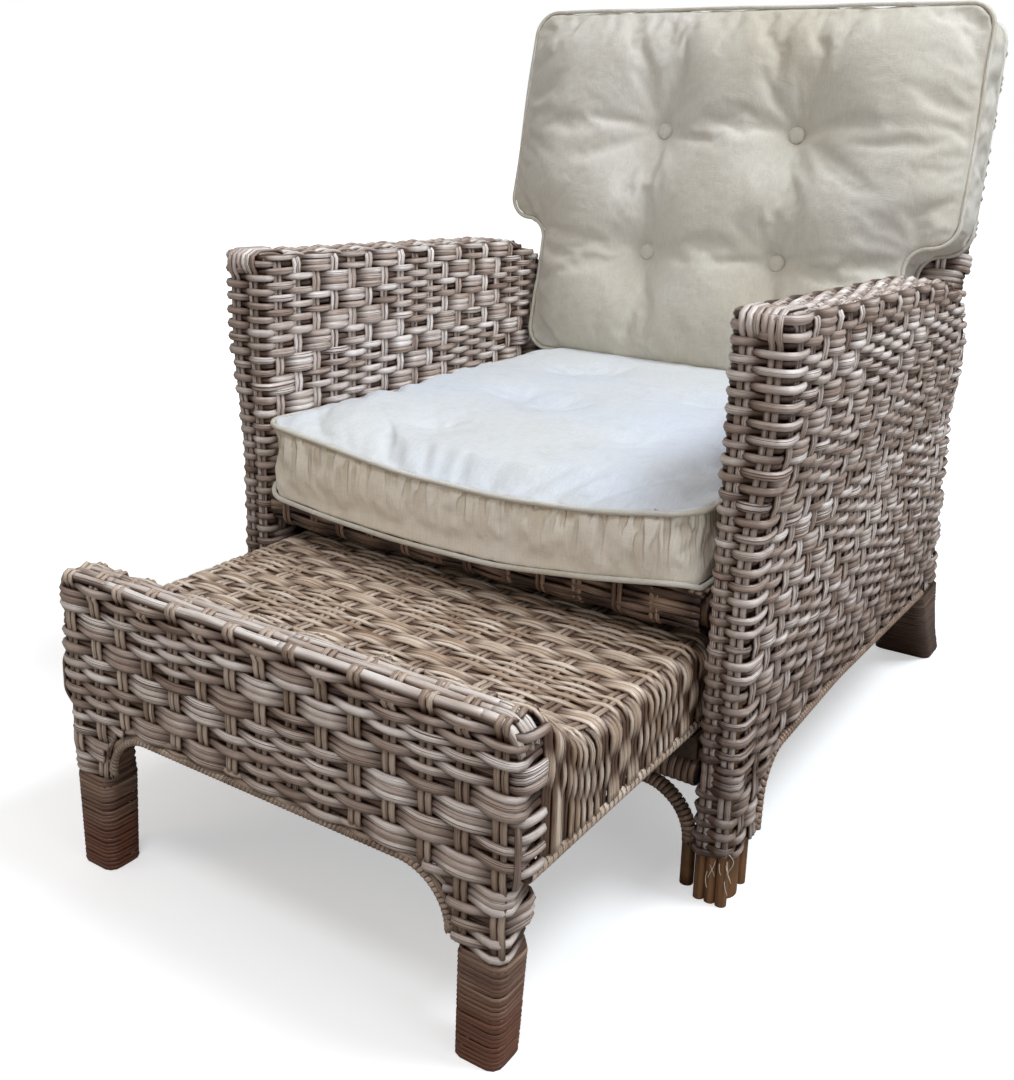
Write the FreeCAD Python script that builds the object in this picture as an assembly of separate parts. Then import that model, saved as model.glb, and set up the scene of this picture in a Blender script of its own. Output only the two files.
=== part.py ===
import FreeCAD, Part
import math
import os

# A woven rattan armchair with loose cushions and a footrest that pulls out from under the seat.
# Lengths are millimetres. Z is up from the floor, X is to the sitter's side, -Y is the front.
# While the pieces are made, Y = 0 is the front face of the arms and X = 0 the middle of the seat.

# Poles and weave
pole_d = 38.0            # main frame poles
thin_pole_d = 12.6       # poles bundled round each front post
weave_t = 6.0            # thickness of a woven skin
snug = 0.3               # gap between neighbours that touch
overrun = 40.0           # how far a cutter runs past what it cuts
thin_sides = 6           # flat sides of piping and of bound edges
thick_sides = 10         # flat sides of a bent pole
tiny = 1e-6

# Sides: the arm, the side and the front leg are one woven wall on each side
clear_half_width = 300.0
arm_flare = 21.4         # how far the outer face leans out below the arm
flare_drop = 105.0       # from the arm top down to where the leaning stretch ends
flare_height = 150.0
flare_radius = 160.0
arm_front_z = 640.0
arm_fall = 24.0          # how much lower the arm top is at its rear corner
arm_corner_step = 6.5    # from the arm's rear corner back to the bend of the back
arm_corner_radius = 214.0
arm_front_radius = 16.0
arm_edge_radius = 9.0
weave_end_z = 58.0       # below this the front foot is bare poles
arch_front_lean = 4.0
arch_z = 147.0           # side arch at the front leg
arch_rise = 8.0          # how much higher it is at its highest
arch_peak_y = 320.0
arch_front_radius = 58.0
arch_peak_radius = 800.0
foot_pole_z = 240.0      # how far the thin poles run up inside the front leg
board_t = 10.0           # flat board under the woven arm top
board_past_bend = 3.0    # how far the board runs past the start of the arm's rear bend

# Back: one woven slab with the bent posts inside, upright below and leaning above the bend
back_bottom_drop = 17.0  # bottom of the slab below the side arch
back_bend_z = 550.0
back_top_z = 955.0
back_bend_y = 722.5      # middle of the slab at the bend
back_low_lean = 36.5     # how far the bottom of the slab is behind the bend
recline_deg = 12.0
back_bend_radius = 320.0
back_corner_radius = 40.0
back_edge_radius = 16.0
foot_kick_run = 93.5     # from the bend back to where the post's middle meets the floor
foot_kick_drop = 18.0    # where the kick starts, below the slab
foot_kick_radius = 130.0
stake_d = 16.0           # upright poles in the upper back
stake_count = 5
mid_rail_share = 0.0988  # middle rail, as a share of the height from the bend to the top
low_rail_rise = 42.0     # low rail above the bottom of the slab

# Rear foot: a wrapped boot round the end of each post. Its runs are measured back from the bend of the back
boot_top_front_run = -27.5
boot_waist_z = 62.0
boot_waist_front_run = 15.5
boot_waist_rear_run = 83.5
boot_waist_spread = 10.0     # how far it stands inside the front leg's inner face
boot_floor_front_run = 59.5
boot_floor_rear_run = 123.5
boot_floor_spread = 35.0
boot_radius = 12.0
boot_spans = 3               # straight stretches that its curve is made of

# Seat
apron_bottom_z = 298.0
apron_front_y = 3.0
apron_radius = 14.0
slat_d = 20.0
slat_count = 6

# Front arch under the seat
arch_pole_d = 17.0
arch_pole_radius = 60.0
runner_width = 34.0
runner_height_share = 0.632
runner_radius = 4.0

# Footrest
rest_front_y = -327.0
rest_length = 620.0
rest_side_gap = 6.0      # between the footrest and the front legs
rest_top_drop = 16.0     # footrest top below the apron
rest_lip_rise = 56.0
rest_lip_depth = 42.0    # from the front back to the top of the sweep and to its foot
rest_sweep_depth = 109.0
rest_lip_radius = 26.0
rest_sweep_radius = 88.0
rest_rear_radius = 14.0
rest_edge_radius = 20.0
roll_d = 14.0
roll_rise = 4.0          # how far the roll's top stands above the lip
roll_corner_radius = 27.0
side_pole_d = 13.0
side_pole_z = 190.0
rest_weave_end_z = 110.0
rest_arch_z = 180.0
rest_arch_side = 68.0    # woven leg beside the front arch
rest_arch_radius = 60.0
leg_inner_inset = 66.0   # faces of a leg, in from the side of the footrest
leg_floor_inner_inset = 67.0
leg_floor_outer_inset = 17.0
leg_floor_depth = 45.0
leg_depth = 50.0
leg_radius = 11.0
leg_pole_d = 35.0
leg_pole_inset = 42.0
leg_pole_z = 300.0
rest_rail_d = 28.0
rest_slat_d = 14.0
rest_slat_count = 5
lip_rail_d = 24.0
edging_d = 10.0
pull_out = 200.0         # travel from rest to fully out
stop_width = 22.0
stop_length = 30.0

# Cushions
piping_d = 7.0
cushion_gap = 1.0        # between the loose cushions and what is beside them
draw_in = 5.0            # how far a cushion's sides pull in between its corners
draw_share = 0.6         # share of a side that the drawn-in bow takes
seat_cushion_t = 82.0
seat_cushion_front_y = -16.0
seat_crown = 15.0
seat_corner_radius = 32.0
tuft_half_space = 118.0
tuft_front_share = 0.3
tuft_rear_share = 0.66
tuft_radius = 120.0
tuft_depth = 13.0
back_cushion_t = 82.0
back_cushion_lift = 16.4     # front bottom edge above the crown of the seat cushion
back_cushion_rise = 17.0     # how far it stands above the back
back_cushion_overhang = 4.4  # how far the wings reach past the side of the back
back_cushion_side_gap = 12.0
wing_bottom_share = 0.375
back_crown = 30.0
rear_crown = 4.0
wing_radius = 34.0
notch_radius = 42.0
notch_share = 0.75       # share of the plan radii that the narrow wings take
button_d = 24.0
button_t = 7.0
button_edge_radius = 2.5
button_half_space = 105.0
button_low_share = 0.3
button_high_share = 0.655
dimple_radius = 95.0
dimple_depth = 20.0
crown_shares = (0.0, 0.04, 0.16, 0.34, 0.5, 0.66, 0.84, 0.96, 1.0)
crown_power = 2.5
least_crown_share = 0.04

# Worked out from the sizes above
side_t = pole_d + 2 * (weave_t + snug)
side_half_width = clear_half_width + side_t
side_pole_x = clear_half_width + side_t / 2
arm_half_width = side_half_width + arm_flare
flare_high_z = arm_front_z - flare_drop
flare_low_z = flare_high_z - flare_height
arm_corner_y = back_bend_y - arm_corner_step
arch_peak_z = arch_z + arch_rise
board_end_y = arm_corner_y - arm_corner_radius + board_past_bend
back_bottom_z = arch_z - back_bottom_drop
back_bottom_y = back_bend_y + back_low_lean
foot_kick_y = back_bend_y + foot_kick_run
foot_kick_z = back_bottom_z - foot_kick_drop
mid_rail_z = back_bend_z + mid_rail_share * (back_top_z - back_bend_z)
low_rail_z = back_bottom_z + low_rail_rise
boot_top_front_y = back_bend_y + boot_top_front_run
boot_waist_front_y = back_bend_y + boot_waist_front_run
boot_waist_rear_y = back_bend_y + boot_waist_rear_run
boot_floor_front_y = back_bend_y + boot_floor_front_run
boot_floor_rear_y = back_bend_y + boot_floor_rear_run
rest_rear_y = rest_front_y + rest_length
rest_half_width = clear_half_width - rest_side_gap
rest_top_z = apron_bottom_z - rest_top_drop
rest_lip_z = rest_top_z + rest_lip_rise
rest_lip_rear_y = rest_front_y + rest_lip_depth
rest_sweep_y = rest_front_y + rest_sweep_depth
rest_arch_half_width = rest_half_width - rest_arch_side
leg_inner_x = rest_half_width - leg_inner_inset
leg_floor_inner_x = rest_half_width - leg_floor_inner_inset
leg_floor_outer_x = rest_half_width - leg_floor_outer_inset
leg_floor_rear_y = rest_front_y + leg_floor_depth
leg_rear_y = rest_front_y + leg_depth
leg_pole_x = rest_half_width - leg_pole_inset
skin_gap = weave_t + snug
front_post_y = skin_gap + thin_pole_d + snug + pole_d / 2
front_leg_depth = 2 * (skin_gap + thin_pole_d + snug) + pole_d
recline = math.radians(recline_deg)
deck_top_z = apron_bottom_z + skin_gap + pole_d + snug + weave_t
back_cushion_bottom_z = deck_top_z + seat_cushion_t + seat_crown + back_cushion_lift
back_cushion_length = (back_top_z - back_cushion_bottom_z) / math.cos(recline) + back_cushion_rise
back_cushion_half_width = side_half_width + back_cushion_overhang
back_cushion_low_half_width = clear_half_width - back_cushion_side_gap
back_top_y = back_bend_y + (back_top_z - back_bend_z) * math.tan(recline)
lower_lean = math.atan2(back_bottom_y - back_bend_y, back_bend_z - back_bottom_z)
origin_y = (rest_front_y + boot_floor_rear_y) / 2

os.makedirs("parts", exist_ok=True)


def vec(x, y, z):
    return FreeCAD.Vector(x, y, z)


def rounded_wire(points, radii, closed):
    """Straight runs joined by tangent arcs. A radius of zero leaves a corner sharp."""
    count = len(points)
    corners = []
    for i, point in enumerate(points):
        is_end = not closed and i in (0, count - 1)
        if is_end or radii[i] <= 0:
            corners.append((point, None, point))
            continue
        back = (points[i - 1] - point).normalize()
        ahead = (points[(i + 1) % count] - point).normalize()
        half = back.getAngle(ahead) / 2
        reach = radii[i] / math.tan(half)
        centre = point + (back + ahead).normalize() * (radii[i] / math.sin(half))
        middle = centre + (point - centre).normalize() * radii[i]
        corners.append((point + back * reach, middle, point + ahead * reach))
    edges = []
    for i in range(count):
        arrive, middle, leave = corners[i]
        if middle is not None:
            edges.append(Part.Arc(arrive, middle, leave).toShape())
        if closed or i + 1 < count:
            following = corners[(i + 1) % count][0]
            if leave.distanceToPoint(following) > tiny:
                edges.append(Part.LineSegment(leave, following).toShape())
    return Part.Wire(edges)


def inset(points, radii, depth):
    """The same outline moved inwards by depth, its round corners keeping their centres."""
    count = len(points)
    area = sum(points[i - 1][0] * points[i][1] - points[i][0] * points[i - 1][1] for i in range(count))
    side = 1 if area > 0 else -1
    moved = []
    rounds = []
    for i in range(count):
        before = points[i - 1]
        here = points[i]
        after = points[(i + 1) % count]
        first = math.hypot(here[0] - before[0], here[1] - before[1])
        second = math.hypot(after[0] - here[0], after[1] - here[1])
        a = ((here[0] - before[0]) / first, (here[1] - before[1]) / first)
        b = ((after[0] - here[0]) / second, (after[1] - here[1]) / second)
        normal_a = (-a[1] * side, a[0] * side)
        normal_b = (-b[1] * side, b[0] * side)
        grow = depth / (1 + normal_a[0] * normal_b[0] + normal_a[1] * normal_b[1])
        moved.append((here[0] + (normal_a[0] + normal_b[0]) * grow, here[1] + (normal_a[1] + normal_b[1]) * grow))
        turn = (a[0] * b[1] - a[1] * b[0]) * side
        if radii[i] <= 0:
            rounds.append(0)
        else:
            rounds.append(max(radii[i] - depth, 0) if turn > 0 else radii[i] + depth)
    return moved, rounds


def side_slab(points, radii, low_x, high_x):
    """An outline in (Y, Z) given width along X."""
    wire = rounded_wire([vec(low_x, y, z) for y, z in points], radii, True)
    return Part.Face(wire).extrude(vec(high_x - low_x, 0, 0))


def front_slab(points, radii, low_y, high_y):
    """An outline in (X, Z) given depth along Y."""
    wire = rounded_wire([vec(x, low_y, z) for x, z in points], radii, True)
    return Part.Face(wire).extrude(vec(0, high_y - low_y, 0))


def plan_slab(points, radii, low_z, high_z):
    """An outline in (X, Y) given height along Z."""
    wire = rounded_wire([vec(x, y, low_z) for x, y in points], radii, True)
    return Part.Face(wire).extrude(vec(0, 0, high_z - low_z))


def block(low, high):
    size = high - low
    return Part.makeBox(size.x, size.y, size.z, low)


def pole(start, end, diameter):
    """A straight round pole from one point to another."""
    along = end - start
    return Part.makeCylinder(diameter / 2, along.Length, start, along)


def bent_pole(points, radii, diameter, closed=False):
    """A round pole along straight runs joined by tangent arcs."""
    path = rounded_wire(points, radii, closed)
    first = path.Edges[0]
    start = first.valueAt(first.FirstParameter)
    heading = first.tangentAt(first.FirstParameter)
    ring = Part.Wire(Part.Circle(start, heading, diameter / 2).toShape())
    return path.makePipeShell([ring], True, True)


def faceted_pole(points, radii, diameter, normal, closed=False, sides=thin_sides):
    """A thin cord or bound pole with flat sides, along a path that lies in one plane."""
    path = rounded_wire(points, radii, closed)
    first = path.Edges[0]
    start = first.valueAt(first.FirstParameter)
    across = first.tangentAt(first.FirstParameter).cross(normal).normalize()
    step = math.pi / sides
    reach = diameter / 2
    corners = []
    for i in range(sides):
        turn = (2 * i + 1) * step
        corners.append(start + across * (reach * math.cos(turn)) + normal * (reach * math.sin(turn)))
    ring = Part.makePolygon(corners + [corners[0]])
    sweep = Part.BRepOffsetAPI.MakePipeShell(path)
    sweep.setBiNormalMode(normal)
    sweep.add(ring)
    sweep.build()
    sweep.makeSolid()
    return sweep.shape()


def mirrored(shape):
    return shape.mirror(vec(0, 0, 0), vec(1, 0, 0))


def moved(shape, shift):
    copy = shape.copy()
    copy.translate(shift)
    return copy


def write(name, shape):
    """Puts the origin under the middle of the whole chair and writes one node."""
    placed = moved(shape, vec(0, -origin_y, 0))
    placed.exportStep("parts/" + name + ".step")
    solids = placed.Solids
    box = placed.optimalBoundingBox()
    volume = sum(solid.Volume for solid in solids)
    print(name, len(solids), "solids", round(volume), "mm3", placed.isValid(),
          [round(v, 1) for v in (box.XMin, box.XMax, box.YMin, box.YMax, box.ZMin, box.ZMax)])


def write_pair(name, right_shape):
    write(name + "_right", right_shape)
    write(name + "_left", mirrored(right_shape))


def back_line(z):
    """Y of the middle of the back slab at a height."""
    if z < back_bend_z:
        return back_bend_y + (back_bend_z - z) * math.tan(lower_lean)
    return back_bend_y + (z - back_bend_z) * math.tan(recline)


def back_front(z):
    """Y of the front face of the back slab at a height."""
    lean = lower_lean if z < back_bend_z else recline
    return back_line(z) - side_t / 2 / math.cos(lean)


def back_outline(grow):
    """Outline in (Y, Z) of the back slab, half of grow thicker on each face."""
    half = side_t / 2 + grow
    bend_half = half / math.cos((lower_lean + recline) / 2)
    drift = (recline - lower_lean) / 2
    bottom_z = back_bottom_z - grow
    top_y = back_top_y + grow * math.sin(recline)
    top_z = back_top_z + grow * math.cos(recline)
    points = [
        (back_line(bottom_z) - half / math.cos(lower_lean), bottom_z),
        (back_bend_y - bend_half * math.cos(drift), back_bend_z + bend_half * math.sin(drift)),
        (top_y - half * math.cos(recline), top_z + half * math.sin(recline)),
        (top_y + half * math.cos(recline), top_z - half * math.sin(recline)),
        (back_bend_y + bend_half * math.cos(drift), back_bend_z - bend_half * math.sin(drift)),
        (back_line(bottom_z) + half / math.cos(lower_lean), bottom_z),
    ]
    edge = back_edge_radius + grow
    radii = [0, back_bend_radius - half, edge, edge, back_bend_radius + half, 0]
    return points, radii


def back_slab(grow, half_width):
    """The back slab with rounded top corners, grown or shrunk all round."""
    points, radii = back_outline(grow)
    body = side_slab(points, radii, -half_width, half_width)
    top = back_top_z + side_t / 2 * math.sin(recline) + grow
    corner = back_corner_radius + grow
    front = [(-half_width, 0), (half_width, 0), (half_width, top), (-half_width, top)]
    limits = front_slab(front, [0, 0, corner, corner], back_bend_y - 2 * side_t, back_top_y + 2 * side_t)
    return body.common(limits)


def side_outline():
    """Outline in (Y, Z) of the woven wall: front leg, arm top, rounded arm end, long side arch."""
    points = [
        (0, weave_end_z),
        (front_leg_depth, weave_end_z),
        (front_leg_depth + arch_front_lean, arch_z),
        (arch_peak_y, arch_peak_z),
        (back_bottom_y, back_bottom_z),
        (arm_corner_y, arm_front_z - arm_fall),
        (0, arm_front_z),
    ]
    radii = [0, 0, arch_front_radius, arch_peak_radius, 0, arm_corner_radius, arm_front_radius]
    return points, radii


def front_outline():
    """Outline in (X, Z) of the right wall: upright inside, leaning out below the arm outside."""
    points = [
        (clear_half_width, 0),
        (side_half_width, 0),
        (side_half_width, flare_low_z),
        (arm_half_width, flare_high_z),
        (arm_half_width, arm_front_z + overrun),
        (clear_half_width, arm_front_z + overrun),
    ]
    return points, [0, 0, flare_radius, flare_radius, 0, 0]


def arm_weave():
    """The woven wall as a hollow shell, open below the front leg where the foot poles come out."""
    side_points, side_radii = side_outline()
    front_points, front_radii = front_outline()
    side_body = side_slab(side_points, side_radii, 0, arm_half_width + overrun)
    front_body = front_slab(front_points, front_radii, -overrun, back_top_y)
    outer = side_body.common(front_body)
    edges = [edge for edge in outer.Edges if is_arm_rim(edge)]
    outer = outer.makeFillet(arm_edge_radius, edges)
    hollow_side, hollow_side_radii = inset(side_points, side_radii, weave_t)
    hollow_side[0] = (hollow_side[0][0], weave_end_z - overrun)
    hollow_side[1] = (hollow_side[1][0], weave_end_z - overrun)
    hollow_front, hollow_front_radii = inset(front_points, front_radii, weave_t)
    hollow_front[0] = (hollow_front[0][0], -overrun)
    hollow_front[1] = (hollow_front[1][0], -overrun)
    hollow = side_slab(hollow_side, hollow_side_radii, 0, arm_half_width + overrun)
    hollow = hollow.common(front_slab(hollow_front, hollow_front_radii, -overrun, back_top_y))
    hollow = hollow.cut(back_slab(skin_gap, arm_half_width))
    return outer.cut(back_slab(snug, arm_half_width)).cut(hollow)


def is_arm_rim(edge):
    """True on the rim between the wall's flat front or arm top and its two faces."""
    ends = [vertex.Point for vertex in edge.Vertexes]
    middle = edge.valueAt((edge.FirstParameter + edge.LastParameter) / 2)
    if max(p.x for p in ends) - min(p.x for p in ends) > arm_half_width - side_half_width:
        return False
    if middle.y > arm_corner_y + tiny or min(p.z for p in ends) < weave_end_z - tiny:
        return False
    on_front = all(abs(p.y) < arm_front_radius + tiny for p in ends)
    on_top = middle.z > flare_high_z + tiny
    on_end = middle.y > board_end_y and middle.z > arch_z + tiny
    return on_front or on_top or on_end


def frame_side():
    """Frame poles inside the right wall, by node name."""
    x = side_pole_x
    parts = {}
    rail_drop = skin_gap + board_t + snug + pole_d / 2
    rail_z = arm_front_z - rail_drop
    low_z = arch_peak_z + skin_gap + pole_d / 2
    corner = (arm_corner_y - rail_drop, arm_front_z - arm_fall - rail_drop)
    rail_fall = arm_fall / corner[0]
    rail_start = skin_gap + rail_fall * pole_d / 2
    post_top = rail_z - pole_d / 2 - 2 * snug - rail_fall * (front_post_y + pole_d / 2)
    parts["front_post"] = pole(vec(x, front_post_y, 0), vec(x, front_post_y, post_top), pole_d)
    rows = (skin_gap + thin_pole_d / 2, front_leg_depth - skin_gap - thin_pole_d / 2)
    spread = pole_d / 2 - thin_pole_d / 2
    thin = [pole(vec(x + dx, y, 0), vec(x + dx, y, foot_pole_z), thin_pole_d)
            for y in rows for dx in (-spread, 0, spread)]
    parts["front_foot_poles"] = Part.makeCompound(thin)
    arm_path = [
        vec(x, rail_start, rail_z),
        vec(x, corner[0], corner[1]),
        vec(x, corner[0] + snug, low_z + pole_d / 2 + snug),
    ]
    parts["arm_rail"] = faceted_pole(arm_path, [0, arm_corner_radius - rail_drop, 0], pole_d, vec(1, 0, 0),
                                     sides=thick_sides)
    low_start = front_leg_depth - skin_gap + snug
    low_end = back_front(low_z + pole_d / 2) - skin_gap / math.cos(lower_lean) - snug
    parts["lower_side_rail"] = pole(vec(x, low_start, low_z), vec(x, low_end, low_z), pole_d)
    fall_share = arm_fall / arm_corner_y
    top = arm_front_z - skin_gap
    board = [
        (arm_front_radius, top - fall_share * arm_front_radius),
        (board_end_y, top - fall_share * board_end_y),
        (board_end_y, top - board_t - fall_share * board_end_y),
        (arm_front_radius, top - board_t - fall_share * arm_front_radius),
    ]
    parts["arm_board"] = side_slab(board, [0, 0, 0, 0], clear_half_width + skin_gap, arm_half_width - skin_gap)
    return parts


def back_parts():
    """The back slab's woven shell, its bent posts and the poles between them."""
    parts = {}
    kick = [
        vec(side_pole_x, foot_kick_y + overrun * (foot_kick_y - back_line(foot_kick_z)) / foot_kick_z, -overrun),
        vec(side_pole_x, back_line(foot_kick_z), foot_kick_z),
        vec(side_pole_x, back_bend_y, back_bend_z),
        vec(side_pole_x, back_line(back_top_z), back_top_z),
    ]
    rail_z = back_top_z - side_t / 2 * math.cos(recline)
    top = vec(0, back_line(rail_z), rail_z)
    lean = vec(0, math.sin(recline), math.cos(recline))
    kick[3] = vec(side_pole_x, top.y, top.z) - lean * (pole_d / 2 + snug)
    radii = [0, foot_kick_radius, back_bend_radius, 0]
    below = block(vec(0, 0, -2 * overrun), vec(arm_half_width, back_top_y + arm_half_width, 0))
    post = bent_pole(kick, radii, pole_d).cut(below)
    clearance = bent_pole(kick, radii, pole_d + 2 * snug).cut(below)
    parts["back_top_rail"] = pole(vec(-side_pole_x, top.y, top.z), vec(side_pole_x, top.y, top.z), pole_d)
    between = side_pole_x - pole_d / 2 - snug
    for name, z in (("back_middle_rail", mid_rail_z), ("back_low_rail", low_rail_z)):
        parts[name] = pole(vec(-between, back_line(z), z), vec(between, back_line(z), z), pole_d)
    stakes = []
    low = vec(0, back_line(mid_rail_z), mid_rail_z) + lean * (pole_d / 2 + snug)
    high = top - lean * (pole_d / 2 + snug)
    for i in range(stake_count):
        x = between * (2 * (i + 1) / (stake_count + 1) - 1)
        stakes.append(pole(low + vec(x, 0, 0), high + vec(x, 0, 0), stake_d))
    parts["back_stakes"] = Part.makeCompound(stakes)
    shell = back_slab(0, side_half_width).cut(back_slab(-weave_t, side_half_width - weave_t))
    parts["back_weave"] = shell.cut(clearance).cut(mirrored(clearance))
    return parts, post, clearance


def boot_size(z, floor, waist, top):
    """A size of the boot at a height, on the smooth curve through its floor, waist and top sizes."""
    high = back_bottom_z - snug
    low_part = (z - boot_waist_z) * (z - high) / (boot_waist_z * high)
    waist_part = z * (high - z) / (boot_waist_z * (high - boot_waist_z))
    top_part = z * (z - boot_waist_z) / (high * (high - boot_waist_z))
    return floor * low_part + waist * waist_part + top * top_part


def rear_foot_wrap(clearance):
    """The wrapped boot that widens inwards and kicks back to the floor."""
    top_rear_y = back_bottom_y + side_t / 2 / math.cos(lower_lean)
    rings = []
    for i in range(boot_spans + 1):
        z = (back_bottom_z - snug) * i / boot_spans
        inner = clear_half_width - boot_size(z, boot_floor_spread, boot_waist_spread, 0)
        front = boot_size(z, boot_floor_front_y, boot_waist_front_y, boot_top_front_y)
        rear = boot_size(z, boot_floor_rear_y, boot_waist_rear_y, top_rear_y)
        corners = [
            vec(inner, front, z), vec(side_half_width, front, z),
            vec(side_half_width, rear, z), vec(inner, rear, z),
        ]
        rings.append(rounded_wire(corners, [boot_radius] * len(corners), True))
    boot = Part.makeLoft(rings, True, True)
    return boot.cut(clearance)


def side_edging():
    """The bound pole under the outer edge of the side arch, from the front leg to the rear foot."""
    x = side_half_width - edging_d / 2
    drop = edging_d / 2 + snug
    points, radii = side_outline()
    arch = [
        vec(x, points[1][0] + drop, weave_end_z),
        vec(x, points[2][0] + drop, points[2][1] - drop),
        vec(x, points[3][0], points[3][1] - drop),
        vec(x, boot_top_front_y - drop, arch_height_at(boot_top_front_y) - drop),
    ]
    return faceted_pole(arch, [0, radii[2] - drop, radii[3] - drop, 0], edging_d, vec(1, 0, 0))


def arch_height_at(y):
    """Height of the rear half of the side arch at a distance back."""
    share = (y - arch_peak_y) / (back_bottom_y - arch_peak_y)
    return arch_peak_z + share * (back_bottom_z - arch_peak_z)


def seat_parts():
    """Rails, cross poles, deck and apron that carry the seat cushion."""
    parts = {}
    reach = clear_half_width - snug
    rail_y = apron_front_y + skin_gap + pole_d / 2
    rail_z = apron_bottom_z + skin_gap + pole_d / 2
    deck_bottom = rail_z + pole_d / 2 + snug
    rear_y = back_front(rail_z) - snug - pole_d / 2
    parts["seat_front_rail"] = pole(vec(-reach, rail_y, rail_z), vec(reach, rail_y, rail_z), pole_d)
    parts["seat_rear_rail"] = pole(vec(-reach, rear_y, rail_z), vec(reach, rear_y, rail_z), pole_d)
    apron_rear = apron_front_y + 2 * skin_gap + pole_d
    side_x = reach - pole_d / 2
    side_rail = pole(vec(side_x, apron_rear + snug, rail_z), vec(side_x, rear_y - pole_d / 2 - snug, rail_z), pole_d)
    outer = [
        (apron_front_y, deck_bottom - snug),
        (apron_front_y, apron_bottom_z),
        (apron_rear, apron_bottom_z),
        (apron_rear, deck_bottom - snug),
    ]
    outer_radii = [0, apron_radius, apron_radius, 0]
    hollow, hollow_radii = inset(outer, outer_radii, weave_t)
    hollow[0] = (hollow[0][0], deck_bottom + overrun)
    hollow[3] = (hollow[3][0], deck_bottom + overrun)
    channel = side_slab(outer, outer_radii, -reach, reach)
    parts["apron_weave"] = channel.cut(side_slab(hollow, hollow_radii, -reach - overrun, reach + overrun))
    deck_rear = back_front(deck_bottom + weave_t) - snug
    deck = [(-reach, apron_front_y), (reach, apron_front_y), (reach, deck_rear), (-reach, deck_rear)]
    parts["seat_deck_weave"] = plan_slab(deck, [0, 0, 0, 0], deck_bottom, deck_bottom + weave_t)
    slat_x = side_x - pole_d / 2 - snug
    slat_z = deck_bottom - snug - slat_d / 2
    slats = []
    for i in range(slat_count):
        y = apron_rear + (rear_y - apron_rear) * (i + 1) / (slat_count + 1)
        slats.append(pole(vec(-slat_x, y, slat_z), vec(slat_x, y, slat_z), slat_d))
    parts["seat_cross_poles"] = Part.makeCompound(slats)
    return parts, side_rail, deck_bottom + weave_t, rail_y


def front_arch_parts(rail_y):
    """The stretcher under the seat, the bent arch pole below it and the runners for the footrest."""
    parts = {}
    reach = clear_half_width - snug
    runner_top = side_pole_z - side_pole_d / 2 - snug
    stretcher_z = runner_top - runner_height() - snug - pole_d / 2
    parts["front_stretcher"] = pole(vec(-reach, rail_y, stretcher_z), vec(reach, rail_y, stretcher_z), pole_d)
    rear_y = back_front(stretcher_z) - snug - pole_d / 2
    underside_z = stretcher_z - pole_d / 2
    rear_reach = reach - boot_size(underside_z, boot_floor_spread, boot_waist_spread, 0) - snug
    parts["rear_stretcher"] = pole(vec(-rear_reach, rear_y, stretcher_z), vec(rear_reach, rear_y, stretcher_z), pole_d)
    arch_z_middle = stretcher_z - pole_d / 2 - snug - arch_pole_d / 2
    x = reach - arch_pole_d / 2
    path = [vec(-x, rail_y, 0), vec(-x, rail_y, arch_z_middle), vec(x, rail_y, arch_z_middle), vec(x, rail_y, 0)]
    parts["front_arch_pole"] = faceted_pole(path, [0, arch_pole_radius, arch_pole_radius, 0], arch_pole_d,
                                            vec(0, 1, 0), sides=thick_sides)
    section = [
        (reach - runner_width, runner_top - runner_height()),
        (reach, runner_top - runner_height()),
        (reach, runner_top),
        (reach - runner_width, runner_top),
    ]
    runner = front_slab(section, [runner_radius] * len(section), rail_y - pole_d / 2, rear_y)
    return parts, runner


def runner_height():
    return pole_d * runner_height_share


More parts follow.
